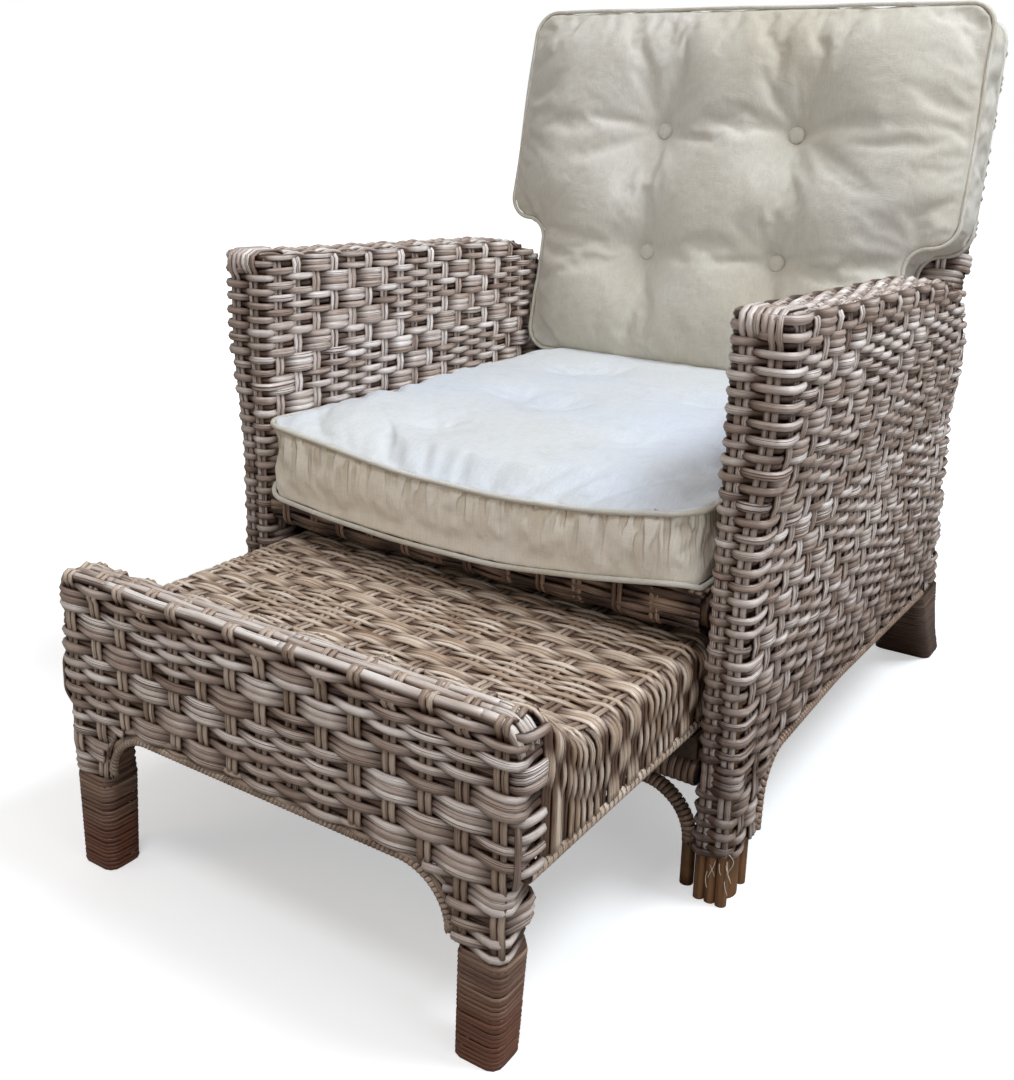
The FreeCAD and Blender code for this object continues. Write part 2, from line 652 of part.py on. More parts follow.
def footrest_parts():
    """The pull-out footrest: woven skin, bound poles, frame and legs."""
    parts = {}
    pairs = {}
    skin_front = rest_front_y + roll_d + snug
    skin_bottom = side_pole_z + side_pole_d / 2 + snug
    outline = [
        (skin_front, skin_bottom),
        (skin_front, rest_lip_z),
        (rest_lip_rear_y, rest_lip_z),
        (rest_sweep_y, rest_top_z),
        (rest_rear_y, rest_top_z),
        (rest_rear_y, skin_bottom),
    ]
    radii = [0, 0, rest_lip_radius, rest_sweep_radius, rest_rear_radius, 0]
    outer = side_slab(outline, radii, -rest_half_width, rest_half_width)
    outer = outer.makeFillet(rest_edge_radius, [edge for edge in outer.Edges if is_rest_rim(edge, rest_half_width)])
    hollow_points, hollow_radii = inset(outline, radii, weave_t)
    hollow_points[0] = (skin_front - overrun, skin_bottom - overrun)
    hollow_points[1] = (skin_front - overrun, hollow_points[1][1])
    hollow_points[5] = (hollow_points[5][0], skin_bottom - overrun)
    inner_width = rest_half_width - weave_t
    hollow = side_slab(hollow_points, hollow_radii, -inner_width, inner_width)
    hollow = hollow.makeFillet(rest_edge_radius - weave_t, [edge for edge in hollow.Edges if is_rest_rim(edge, inner_width)])
    parts["footrest_top_weave"] = outer.cut(hollow)

    panel_half = rest_half_width - roll_d - snug
    roll_z = rest_lip_z + roll_rise - roll_d / 2
    panel_top = roll_z - roll_d / 2 - snug
    arch = [
        (-panel_half, panel_top),
        (-panel_half, rest_weave_end_z),
        (-rest_arch_half_width, rest_weave_end_z),
        (-rest_arch_half_width, rest_arch_z),
        (rest_arch_half_width, rest_arch_z),
        (rest_arch_half_width, rest_weave_end_z),
        (panel_half, rest_weave_end_z),
        (panel_half, panel_top),
    ]
    corner = roll_corner_radius - roll_d / 2 - snug
    arch_radii = [corner, 0, 0, rest_arch_radius, rest_arch_radius, 0, 0, corner]
    parts["footrest_front_weave"] = front_slab(arch, arch_radii, rest_front_y, rest_front_y + weave_t)

    roll_y = rest_front_y + roll_d / 2
    roll_x = rest_half_width - roll_d / 2
    roll = [
        vec(-roll_x, roll_y, skin_bottom),
        vec(-roll_x, roll_y, roll_z),
        vec(roll_x, roll_y, roll_z),
        vec(roll_x, roll_y, skin_bottom),
    ]
    roll_radii = [0, roll_corner_radius, roll_corner_radius, 0]
    parts["footrest_border_roll"] = faceted_pole(roll, roll_radii, roll_d, vec(0, 1, 0))

    edge_x = rest_arch_half_width - snug - edging_d / 2
    edge_z = rest_arch_z - snug - edging_d / 2
    edge_y = rest_front_y + edging_d / 2
    bound = [
        vec(-edge_x, edge_y, rest_weave_end_z),
        vec(-edge_x, edge_y, edge_z),
        vec(edge_x, edge_y, edge_z),
        vec(edge_x, edge_y, rest_weave_end_z),
    ]
    bound_radius = rest_arch_radius - snug - edging_d / 2
    bound_radii = [0, bound_radius, bound_radius, 0]
    parts["footrest_arch_edging"] = faceted_pole(bound, bound_radii, edging_d, vec(0, 1, 0))

    pole_x = rest_half_width - side_pole_d / 2
    pairs["footrest_side_pole"] = pole(vec(pole_x, rest_front_y + snug, side_pole_z),
                                       vec(pole_x, rest_rear_y, side_pole_z), side_pole_d)

    leg_top = skin_bottom - snug
    leg_outer = pole_x - side_pole_d / 2 - snug
    lower = leg_block(leg_floor_inner_x, leg_floor_outer_x, rest_front_y, leg_floor_rear_y, 0,
                      leg_inner_x, leg_outer, rest_front_y, leg_rear_y, rest_weave_end_z - snug)
    behind = rest_front_y + weave_t + snug
    upper = leg_block(leg_inner_x, leg_outer, behind, leg_rear_y, rest_weave_end_z - snug,
                      leg_inner_x, leg_outer, behind, leg_rear_y, leg_top)
    core_y = behind + leg_pole_d / 2 + snug
    core_hole = pole(vec(leg_pole_x, core_y, -overrun), vec(leg_pole_x, core_y, leg_pole_z), leg_pole_d + 2 * snug)
    pairs["footrest_leg_wrap"] = lower.fuse(upper).cut(core_hole)
    lip_z = rest_lip_z - skin_gap - lip_rail_d / 2
    leg_top_z = min(leg_pole_z, lip_z - lip_rail_d / 2 - snug)
    pairs["footrest_leg_pole"] = pole(vec(leg_pole_x, core_y, 0), vec(leg_pole_x, core_y, leg_top_z), leg_pole_d)

    rail_z = rest_top_z - skin_gap - rest_rail_d / 2
    rail_x = rest_half_width - skin_gap - rest_rail_d / 2
    between = leg_pole_x - leg_pole_d / 2 - snug
    parts["footrest_front_rail"] = pole(vec(-between, core_y, rail_z), vec(between, core_y, rail_z), rest_rail_d)
    parts["footrest_lip_rail"] = pole(vec(-leg_pole_x, core_y, lip_z), vec(leg_pole_x, core_y, lip_z), lip_rail_d)
    rail_front = core_y + leg_pole_d / 2 + snug
    rear_y = rest_rear_y - skin_gap - rest_rail_d / 2
    rail_rear = rest_rear_y - rest_edge_radius - snug
    pairs["footrest_side_rail"] = pole(vec(rail_x, rail_front, rail_z), vec(rail_x, rail_rear, rail_z), rest_rail_d)
    rear_reach = rail_x - rest_rail_d / 2 - snug
    parts["footrest_rear_rail"] = pole(vec(-rear_reach, rear_y, rail_z), vec(rear_reach, rear_y, rail_z), rest_rail_d)
    slat_z = rest_top_z - skin_gap - rest_slat_d / 2
    slats = []
    for i in range(rest_slat_count):
        x = rear_reach * (2 * (i + 1) / (rest_slat_count + 1) - 1)
        front = vec(x, core_y + rest_rail_d / 2 + snug, slat_z)
        rear = vec(x, rear_y - rest_rail_d / 2 - snug, slat_z)
        slats.append(pole(front, rear, rest_slat_d))
    parts["footrest_slats"] = Part.makeCompound(slats)
    return parts, pairs, rail_z


def is_rest_rim(edge, half_width):
    """True on the rim between the footrest's sides and its lip, sweep and top."""
    ends = [vertex.Point for vertex in edge.Vertexes]
    middle = edge.valueAt((edge.FirstParameter + edge.LastParameter) / 2)
    if any(abs(abs(p.x) - half_width) > tiny for p in ends) or abs(ends[0].x - ends[-1].x) > tiny:
        return False
    return middle.z > rest_top_z - 2 * weave_t - tiny and middle.y < rest_sweep_y + overrun


def leg_block(x0, x1, y0, y1, z, top_x0, top_x1, top_y0, top_y1, top_z):
    """A leg stretch between two rounded rectangles."""
    rings = []
    for ax, bx, ay, by, level in ((x0, x1, y0, y1, z), (top_x0, top_x1, top_y0, top_y1, top_z)):
        corners = [vec(ax, ay, level), vec(bx, ay, level), vec(bx, by, level), vec(ax, by, level)]
        rings.append(rounded_wire(corners, [leg_radius] * len(corners), True))
    return Part.makeLoft(rings, True, True)


def draw_radius(run):
    """Radius of the shallow bow in the middle of a cushion's side, from half that side's length."""
    return draw_share * run * run / draw_in


def crown_at(share):
    """How much of the full crown a cushion has at a share of its length."""
    return max(1 - abs(2 * share - 1) ** crown_power, least_crown_share)


def crowned_form(half_width, length, thickness, crown, under_crown):
    """A soft slab lying flat: lofted through sections whose top and underside are arcs."""
    sections = []
    for share in crown_shares:
        y = length * share
        rise = crown * crown_at(share)
        fall = under_crown * crown_at(share)
        left_low = vec(-half_width, y, 0)
        left_high = vec(-half_width, y, thickness)
        right_low = vec(half_width, y, 0)
        right_high = vec(half_width, y, thickness)
        underside = Part.LineSegment(left_low, right_low)
        if under_crown > 0:
            underside = Part.Arc(left_low, vec(0, y, -fall), right_low)
        edges = [
            underside.toShape(),
            Part.LineSegment(right_low, right_high).toShape(),
            Part.Arc(right_high, vec(0, y, thickness + rise), left_high).toShape(),
            Part.LineSegment(left_high, left_low).toShape(),
        ]
        sections.append(Part.Wire(edges))
    return Part.makeLoft(sections, True, True)


def cushion(points, radii, thickness, crown, under_crown, dimples, dish_radius, dish_depth):
    """Cushion body and its two piping rings, lying flat with the underside at Z = 0."""
    width = max(x for x, y in points)
    length = max(y for x, y in points)
    body = crowned_form(width + overrun, length, thickness, crown, under_crown)
    outline = plan_slab(points, radii, -overrun, thickness + 2 * overrun)
    body = body.common(outline)
    seats = []
    for x, y in dimples:
        share = y / length
        top = thickness + crown * crown_at(share) * (1 - (x / (width + overrun)) ** 2)
        low = top - dish_depth
        body = body.cut(Part.makeSphere(dish_radius, vec(x, y, low + dish_radius)))
        seats.append(vec(x, y, low))
    out = piping_d / 2 + snug
    ring_points, ring_radii = inset(points, radii, -out)
    rings = []
    for z in (piping_d / 2, thickness - piping_d / 2):
        path = [vec(x, y, z) for x, y in ring_points]
        rings.append(faceted_pole(path, ring_radii, piping_d, vec(0, 0, 1), True))
    return body, rings, seats


def seat_cushion_parts(deck_top):
    """The boxed seat cushion with its drawn-in sides and four sewn tufts."""
    half = clear_half_width - cushion_gap - piping_d - snug
    rear = back_bend_y - side_t / 2 / math.cos(recline) - cushion_gap - piping_d - snug
    length = rear - seat_cushion_front_y
    points = [
        (-half, 0), (0, draw_in), (half, 0), (half - draw_in, length / 2),
        (half, length), (0, length - draw_in), (-half, length), (draw_in - half, length / 2),
    ]
    bow = draw_radius(half)
    side_bow = draw_radius(length / 2)
    corner = seat_corner_radius
    radii = [corner, bow, corner, side_bow, corner, bow, corner, side_bow]
    tufts = [(x, length * share) for share in (tuft_front_share, tuft_rear_share)
             for x in (-tuft_half_space, tuft_half_space)]
    body, rings, seats = cushion(points, radii, seat_cushion_t, seat_crown, 0, tufts, tuft_radius, tuft_depth)
    shift = vec(0, seat_cushion_front_y, deck_top + snug)
    return {
        "seat_cushion": moved(body, shift),
        "seat_cushion_lower_piping": moved(rings[0], shift),
        "seat_cushion_upper_piping": moved(rings[1], shift),
    }


def back_cushion_parts():
    """The T-shaped back cushion, its wings over the arm ends, and its four covered buttons."""
    wide = back_cushion_half_width
    low = back_cushion_low_half_width
    length = back_cushion_length
    wing = length * wing_bottom_share
    middle = (wing + length) / 2
    points = [
        (-low, 0), (0, draw_in), (low, 0), (low, wing), (wide, wing), (wide - draw_in, middle),
        (wide, length), (0, length - draw_in), (-wide, length), (draw_in - wide, middle), (-wide, wing), (-low, wing),
    ]
    wing_bow = draw_radius((length - wing) / 2)
    radii = [
        wing_radius, draw_radius(low), wing_radius, notch_radius * notch_share, wing_radius * notch_share, wing_bow,
        wing_radius, draw_radius(wide), wing_radius, wing_bow, wing_radius * notch_share, notch_radius * notch_share,
    ]
    places = [(x, length * share) for share in (button_low_share, button_high_share)
              for x in (-button_half_space, button_half_space)]
    body, rings, seats = cushion(points, radii, back_cushion_t, back_crown, rear_crown, places,
                                 dimple_radius, dimple_depth)
    lift = dimple_radius - math.sqrt(dimple_radius ** 2 - button_d ** 2 / 4) + snug
    buttons = []
    for seat in seats:
        button = Part.makeCylinder(button_d / 2, button_t, seat + vec(0, 0, lift))
        rim = [edge for edge in button.Edges if edge.Vertexes[0].Z > seat.z + lift + button_t / 2
               and len(edge.Vertexes) == 1]
        buttons.append(button.makeChamfer(button_edge_radius, rim))
    base_z = back_cushion_bottom_z - back_cushion_t * math.sin(recline)
    plane_y = back_bend_y + (base_z - back_bend_z) * math.tan(recline) - side_t / 2 / math.cos(recline)
    base = vec(0, plane_y - (rear_crown + snug) / math.cos(recline), base_z)

    def lean_back(shape):
        copy = shape.copy()
        copy.rotate(vec(0, 0, 0), vec(1, 0, 0), 90 - recline_deg)
        copy.translate(base)
        return copy

    return {
        "back_cushion": lean_back(body),
        "back_cushion_rear_piping": lean_back(rings[0]),
        "back_cushion_front_piping": lean_back(rings[1]),
        "back_cushion_buttons": lean_back(Part.makeCompound(buttons)),
    }


def footrest_stop(rail_z, rail_y, stretcher_z):
    """A hanging block behind the front stretcher that ends the footrest's pull."""
    outer_x = clear_half_width - runner_width - 2 * snug - cushion_gap
    front = rail_y + pole_d / 2 + pull_out + snug
    top = rail_z - rest_rail_d / 2 - snug
    return block(vec(outer_x - stop_width, front, stretcher_z), vec(outer_x, front + stop_length, top))


for node, shape in frame_side().items():
    write_pair(node, shape)
write_pair("arm_weave", arm_weave())
write_pair("arm_edging", side_edging())

back_nodes, back_post, post_clearance = back_parts()
for node, shape in back_nodes.items():
    write(node, shape)
write_pair("back_post", back_post)
write_pair("rear_foot_wrap", rear_foot_wrap(post_clearance))

seat_nodes, seat_side_rail, deck_top, front_rail_y = seat_parts()
for node, shape in seat_nodes.items():
    write(node, shape)
write_pair("seat_side_rail", seat_side_rail)

arch_nodes, runner = front_arch_parts(front_rail_y)
for node, shape in arch_nodes.items():
    write(node, shape)
write_pair("runner", runner)

rest_nodes, rest_pairs, rest_rail_z = footrest_parts()
for node, shape in rest_nodes.items():
    write(node, shape)
for node, shape in rest_pairs.items():
    write_pair(node, shape)
stretcher_z = arch_nodes["front_stretcher"].BoundBox.Center.z
write_pair("footrest_stop", footrest_stop(rest_rail_z, front_rail_y, stretcher_z))

for node, shape in seat_cushion_parts(deck_top).items():
    write(node, shape)
for node, shape in back_cushion_parts().items():
    write(node, shape)
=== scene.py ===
# %% [markdown]
# # A woven armchair with a pull-out footrest
# The chair is grey-brown cane woven over rattan poles, with loose off-white cushions. Its poles,
# runners and rails come from the frame at their real size. This script gives them their finish and
# makes what a solid model can't show: every woven strand, the bound edges and the soft covers. All
# lengths are in metres.

# %% Load the frame
import math

import bpy
import numpy as np
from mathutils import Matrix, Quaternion, Vector


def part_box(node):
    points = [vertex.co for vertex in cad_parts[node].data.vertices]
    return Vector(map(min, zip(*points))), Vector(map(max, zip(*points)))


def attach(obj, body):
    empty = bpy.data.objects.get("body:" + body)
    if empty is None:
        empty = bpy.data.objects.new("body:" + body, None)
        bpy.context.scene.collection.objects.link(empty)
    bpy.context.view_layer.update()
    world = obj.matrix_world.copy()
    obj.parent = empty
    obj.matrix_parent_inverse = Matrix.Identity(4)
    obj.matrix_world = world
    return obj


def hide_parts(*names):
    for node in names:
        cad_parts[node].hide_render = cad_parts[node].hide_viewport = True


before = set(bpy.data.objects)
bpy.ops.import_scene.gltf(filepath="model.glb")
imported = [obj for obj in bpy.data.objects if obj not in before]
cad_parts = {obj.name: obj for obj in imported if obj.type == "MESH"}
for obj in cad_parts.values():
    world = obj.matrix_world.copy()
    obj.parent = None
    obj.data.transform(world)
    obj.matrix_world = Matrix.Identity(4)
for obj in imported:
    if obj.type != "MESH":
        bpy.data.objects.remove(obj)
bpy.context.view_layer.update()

# %% [markdown]
# ## The measures that the weave follows
# Woven skins are set out from the frame. The box of a frame node gives most places. A few heights and
# radii of the chair's outline are repeated here by name, because a box doesn't hold them.

# %% Measures of the chair
arm_low, arm_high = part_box("arm_weave_right")
back_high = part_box("back_weave")[1]
rest_low, rest_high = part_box("footrest_top_weave")
panel_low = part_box("footrest_front_weave")[0]
deck_low, deck_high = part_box("seat_deck_weave")
apron_low, apron_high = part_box("apron_weave")

front_y = arm_low.y
inner_x = arm_low.x
low_outer_x = back_high.x
high_outer_x = arm_high.x
flare_from_z = 0.365
flare_to_z = 0.555
arm_fall = 0.024
arm_corner_y = front_y + 0.716
arm_corner_radius = 0.214
leg_depth = 0.0804
arch_foot_y = front_y + leg_depth - 0.004
arch_front_z = 0.147
arch_peak_z = 0.155
arch_peak_y = front_y + 0.320
arch_rear_z = 0.130
arch_rear_y = front_y + 0.759
arch_radius = 0.058
arch_peak_radius = 0.8
bend_y = front_y + 0.7225
bend_z = 0.550
recline = math.radians(12.0)
lower_lean = math.atan2(arch_rear_y - bend_y, bend_z - arch_rear_z)
slab_half = 0.0253
slab_top_z = 0.955
both_sides = ((1, "right"), (-1, "left"))
print("arm from", round(front_y, 4), "to", round(arm_high.y, 4), "lean", round(math.degrees(lower_lean), 2))

# %% [markdown]
# ## Camera
# The camera stands where the photograph was taken from: a little to the right of the chair, above the
# arms and looking down. The lens is worked out from the focal length that straightened the chair's
# edges.

# %% Camera
photo_width = 1014
photo_height = 1080
focal_pixels = 1222.0
centre_pixel_x = 504.9
centre_pixel_y = 434.6
view_azimuth = math.radians(33.1)
view_elevation = math.radians(14.6)
view_roll = math.radians(1.6)
view_distance = 1.623
view_target = Vector((-0.1019, front_y + 0.2404, 0.4))
film_height = 36.0

toward = Vector((math.sin(view_azimuth) * math.cos(view_elevation),
                 -math.cos(view_azimuth) * math.cos(view_elevation),
                 math.sin(view_elevation)))
turned = toward.to_track_quat("Z", "Y") @ Quaternion((0, 0, 1), view_roll)
bpy.ops.object.camera_add(location=view_target + view_distance * toward, rotation=turned.to_euler())
camera = bpy.context.object
camera.name = "photo_camera"
camera.data.sensor_fit = "VERTICAL"
camera.data.sensor_height = film_height
camera.data.lens = focal_pixels / photo_height * film_height
camera.data.shift_x = (photo_width / 2 - centre_pixel_x) / photo_height
camera.data.shift_y = (centre_pixel_y - photo_height / 2) / photo_height
bpy.context.scene.camera = camera
bpy.context.scene.view_settings.view_transform = "Standard"
print("lens", round(camera.data.lens, 2),
      "shift", round(camera.data.shift_x, 4), round(camera.data.shift_y, 4))

# %% [markdown]
# ## Finishes
# Every finish is built from nodes. This small class adds nodes and links them, so that each finish
# below reads as a short recipe: an input is either a plain value or the output of another node.

# %% Finish helper
class Finish:
    """A tree of shader nodes that is put together step by step."""

    def __init__(self, owner):
        owner.use_nodes = True
        self.owner = owner
        self.tree = owner.node_tree

    def feed(self, made, inputs):
        for key, value in inputs.items():
            if isinstance(value, bpy.types.NodeSocket):
                self.tree.links.new(value, made.inputs[key])
            else:
                made.inputs[key].default_value = value

    def node(self, kind, inputs=None, output=0, **settings):
        made = self.tree.nodes.new("ShaderNode" + kind)
        for key, value in settings.items():
            setattr(made, key, value)
        self.feed(made, inputs or {})
        return made.outputs[output]

    def object_place(self):
        return self.node("TexCoord", output="Object")

    def object_height(self):
        return self.node("SeparateXYZ", {0: self.object_place()}, "Z")

    def maths(self, operation, *values):
        return self.node("Math", dict(enumerate(values)), operation=operation)

    def noise(self, place, scale, detail, roughness=0.5, stretch=None, distortion=0.0):
        if stretch:
            place = self.node("Mapping", {"Vector": place, "Scale": stretch})
        return self.node("TexNoise", {"Vector": place, "Scale": scale, "Detail": detail,
                                      "Roughness": roughness, "Distortion": distortion})

    def span(self, value, low, high, to_low=0.0, to_high=1.0, smooth=False):
        """Bring a value from one range to another."""
        return self.node("MapRange", {"Value": value, "From Min": low, "From Max": high,
                                      "To Min": to_low, "To Max": to_high},
                         interpolation_type="SMOOTHSTEP" if smooth else "LINEAR")

    def blend(self, factor, first, second, mode="MIX"):
        first, second = ((*c, 1) if isinstance(c, tuple) else c for c in (first, second))
        return self.node("Mix", {0: factor, 6: first, 7: second}, 2, data_type="RGBA", blend_type=mode)

    def ramp(self, value, *stops):
        colour = self.node("ValToRGB", {"Fac": value})
        bar = colour.node.color_ramp.elements
        while len(bar) < len(stops):
            bar.new(0.5)
        for stop, (place, shade) in zip(bar, stops):
            stop.position = place
            stop.color = (*shade, 1)
        return colour

    def bump(self, height, strength, distance, **under):
        return self.node("Bump", {"Height": height, "Strength": strength, "Distance": distance, **under})

    def surface(self, **inputs):
        """Set the inputs of the surface that the finish ends in."""
        body = self.tree.nodes["Principled BSDF"]
        self.feed(body, {key.replace("_", " "): value for key, value in inputs.items()})
        return body.outputs[0]


def start_finish(name):
    return Finish(bpy.data.materials.new(name))


def linear(seen):
    """Turn a colour as it is seen, 0 to 255, into the linear values that a shader takes."""
    shares = [c / 255 for c in seen]
    return tuple(c / 12.92 if c <= 0.04045 else ((c + 0.055) / 1.055) ** 2.4 for c in shares)


# %% [markdown]
# ## Floor and light
# The floor is one wide pale plane. It keeps the soft shadow under the chair, which tells the eye that
# the feet touch it. Further out it glows by itself, more and more, so that it ends in the same white as
# the sky. A cool window lamp stands above the chair's left arm and a smaller one at that side. A weak
# warm lamp lights the front, a ceiling lamp the seat and the footrest, and a pale sky softens the rest.

# %% Floor, sky and lamps
floor_side = 60.0
floor_glow = 0.42
floor_tone = (0.92, 0.92, 0.92)
floor_tone_in_bounces = (0.34, 0.31, 0.28)
glow_from = 0.45
glow_to = 2.2
sky_strength = 0.33
white = (1, 1, 1, 1)

bpy.ops.mesh.primitive_plane_add(size=floor_side, location=(0, 0, 0))
floor = bpy.context.object
floor.name = "studio_floor"
paint = start_finish("pale_floor")
seen_ray = paint.node("LightPath")
far_out = paint.node("VectorMath", {0: paint.object_place()}, "Value", operation="LENGTH")
glow_share = paint.span(far_out, glow_from, glow_to, floor_glow, smooth=True)
glow = paint.node("Emission", {"Color": white, "Strength": paint.maths("MULTIPLY", seen_ray, glow_share)})
matt = paint.surface(Roughness=0.9, Specular_IOR_Level=0.1,
                     Base_Color=paint.blend(seen_ray, floor_tone_in_bounces, floor_tone))
paint.feed(paint.tree.nodes["Material Output"], {"Surface": paint.node("AddShader", {0: matt, 1: glow})})
floor.data.materials.append(paint.owner)

sky = Finish(bpy.data.worlds.new("pale_sky"))
bpy.context.scene.world = sky.owner
brightness = sky.node("Mix", {0: sky.node("LightPath"), 2: sky_strength, 3: 1.0}, data_type="FLOAT")
sky.feed(sky.tree.nodes["Background"], {"Color": white, "Strength": brightness})


def add_lamp(name, place, aim, size, power, colour):
    bpy.ops.object.light_add(type="AREA", location=place)
    lamp = bpy.context.object
    lamp.name = name
    lamp.data.shape = "DISK"
    lamp.data.size = size
    lamp.data.energy = power
    lamp.data.color = colour
    lamp.rotation_euler = (Vector(aim) - Vector(place)).to_track_quat("-Z", "Y").to_euler()


add_lamp("window_lamp", (1.5, 0.2, 2.9), (0, 0.1, 0.4), 1.1, 56.0, (0.88, 0.94, 1.0))
add_lamp("side_lamp", (3.0, -0.9, 1.3), (0, 0, 0.4), 1.5, 11.0, (0.94, 0.96, 1.0))
add_lamp("front_lamp", (-1.9, -2.6, 2.2), (0, 0, 0.4), 1.4, 9.0, (1.0, 0.84, 0.68))
add_lamp("ceiling_lamp", (0.5, -1.7, 3.0), (0, -0.2, 0.3), 0.8, 22.0, (0.97, 0.97, 1.0))

# %% [markdown]
# Cane is the skin of a climbing palm. Smoked in mud it turns grey brown. Each length has its own tone,
# fine fibre lines along it, and a ring where a leaf grew. The strand meshes carry four numbers per
# point: how far along the strand it is, how far round, the strand's own tone, and how far it stands out
# of the weave, lowered where more shade is painted. The finish reads them, so the grain follows every
# bend, and it paints shade on the sides of each strand and on the parts that dive between their neighbours.

# %% Cane finish
# Colours of the painted shade that the finish multiplies into the weave's hollows and into the wrapped
# feet.
deep_shade = (0.15, 0.085, 0.055)
wrapped_shade = (0.36, 0.26, 0.21)


def cane_finish(name, dark, middle, light, shade=deep_shade, low_tint_and_shade=None):
    finish = start_finish(name)
    dark, middle, light = linear(dark), linear(middle), linear(light)
    along, around, tone, lift = (finish.node("Attribute", None, "Fac", attribute_name=word)
                                 for word in ("along", "around", "tone", "lift"))
    place = finish.node("CombineXYZ", {"X": along, "Y": around, "Z": tone})
    fibre = finish.noise(place, 3.0, 4.0, 0.65, stretch=(26.0, 3.2, 60.0))
    patch = finish.noise(place, 1.0, 3.0, 0.6, stretch=(11.0, 0.5, 40.0))
    grain = finish.maths("MULTIPLY_ADD", fibre, 0.34, finish.maths("MULTIPLY_ADD", tone, 0.34, patch))
    colour = finish.ramp(finish.span(grain, 0.42, 1.14), (0.02, dark), (0.42, middle), (0.90, light))
    # Near the floor the colour turns a darker, redder brown: partly the cane's own colour there, partly
    # painted shade.
    if low_tint_and_shade:
        low_tint_and_shade_share = finish.span(finish.object_height(), 0.10, 0.04, to_high=0.95)
        colour = finish.blend(low_tint_and_shade_share, colour, linear(low_tint_and_shade))
    ring = finish.span(finish.noise(place, 5.0, 0.0), 0.655, 0.70)
    colour = finish.blend(ring, colour, dark)
    # Painted shade: the sides of each strand, turned away from its top, are darkened.
    colour = finish.blend(finish.span(around, 0.45, 2.0, smooth=True), colour, shade, "MULTIPLY")
    # Painted shade: the deeper a strand lies in the weave, the darker it is.
    colour = finish.blend(finish.span(lift, -0.9, 0.6, 0.95, 0.0), colour, shade, "MULTIPLY")
    finish.surface(Base_Color=colour, Roughness=finish.span(fibre, 0.3, 0.7, 0.30, 0.56),
                   Specular_IOR_Level=0.5, Coat_Weight=0.25, Coat_Roughness=0.3,
                   Normal=finish.bump(fibre, 0.22, 0.0010))
    return finish.owner


grey_cane = cane_finish("grey_brown_cane", (104, 77, 60), (183, 163, 150), (250, 242, 237))
# A lighter copy of the grey-brown cane for the lip: the extra lightness is painted light on the footrest's
# top edge.
lit_lip_cane = cane_finish("lip_cane_painted_light", (122, 94, 76), (206, 190, 178), (253, 247, 242))
tan_cane = cane_finish("tan_stake_cane", (90, 65, 49), (160, 136, 118), (222, 204, 186))
golden_cane = cane_finish("golden_top_cane", (110, 82, 60), (190, 164, 140), (240, 226, 210))
dark_cane = cane_finish("dark_wrapping_cane", (62, 44, 34), (124, 98, 80), (178, 152, 132))
foot_cane = cane_finish("foot_wrapping_cane", (62, 42, 32), (128, 98, 80), (172, 144, 124),
                        wrapped_shade, (120, 72, 48))
# A darker copy of the foot cane: the extra darkness is painted shade on the rear feet under the chair.
shaded_boot_cane = cane_finish("boot_wrapping_cane_painted_shade", (40, 27, 20), (90, 65, 51), (136, 108, 90),
                        wrapped_shade, (80, 50, 35))
print("cane finishes", [m.name for m in bpy.data.materials])

# %% [markdown]
# The parts that stay as the frame made them are bare rattan poles and sawn timber. The weave hides most
# of them. Their colour comes from noise drawn out along the length of the piece, with a few stains.

# %% Finish of poles and timber
def pole_finish(name, dark, light, stretch):
    finish = start_finish(name)
    place = finish.object_place()
    streak = finish.noise(place, 1.0, 5.0, 0.6, stretch=stretch)
    both = finish.maths("MULTIPLY_ADD", streak, 1.2, finish.noise(place, 17.0, 3.0))
    colour = finish.ramp(finish.span(both, 0.75, 1.45), (0.0, linear(dark)), (1.0, linear(light)))
    finish.surface(Base_Color=colour, Roughness=0.6, Normal=finish.bump(streak, 0.3, 0.001))
    return finish.owner


upright_pole = pole_finish("bare_upright_pole", (44, 26, 15), (152, 109, 69), (240, 240, 9))
# Painted shade: the cross poles are darker than the upright poles, for the shaded places under the seat
# where they show.
shaded_cross_pole = pole_finish("bare_cross_pole_painted_shade", (40, 27, 19), (96, 72, 52), (9, 200, 200))
# Painted shade: the timber is darkened for the shade it lies in under the footrest.
shaded_timber = pole_finish("sawn_timber", (34, 24, 17), (82, 62, 46), (160, 8, 160))
wood_of = ((shaded_timber, ("board", "runner", "stop", "slats", "side_rail")),
           (upright_pole, ("foot_poles", "post", "stakes", "leg_pole")), (shaded_cross_pole, ("",)))
for name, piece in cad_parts.items():
    wood = next(wood for wood, words in wood_of if any(word in name for word in words))
    if piece.material_slots:
        for place in piece.material_slots:
            place.material = wood
    else:
        piece.data.materials.append(wood)
print("poles and timber", len(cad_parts))

# %% [markdown]
# ## How a woven skin is made here
# About three quarters of a kilometre of cane is woven into this chair, in some thousand strands.
# Modelled one by one by hand that is hopeless, and a bump map looks flat from the side. So each strand
# is a real tube with a few flat sides, swept along its own path by this small helper, and a woven skin
# is a list of such strands in one mesh.

# %% Strand helper
dice = np.random.default_rng(17)


def wander(place, size, pace):
    """A slow drift along a strand that starts anywhere in its swing."""
    return size * np.sin(place * pace + dice.uniform(0, 6))


def xyz(x, y, z):
    """Points from their coordinates. A single number stands for all points."""
    return np.stack(np.broadcast_arrays(x, y, z), axis=-1).astype(float)


def unit(direction):
    return direction / np.maximum(np.linalg.norm(direction, axis=-1, keepdims=True), 1e-9)


def loop_ahead(points):
    """The direction along a closed line."""
    return np.roll(points, -1, axis=0) - np.roll(points, 1, axis=0)


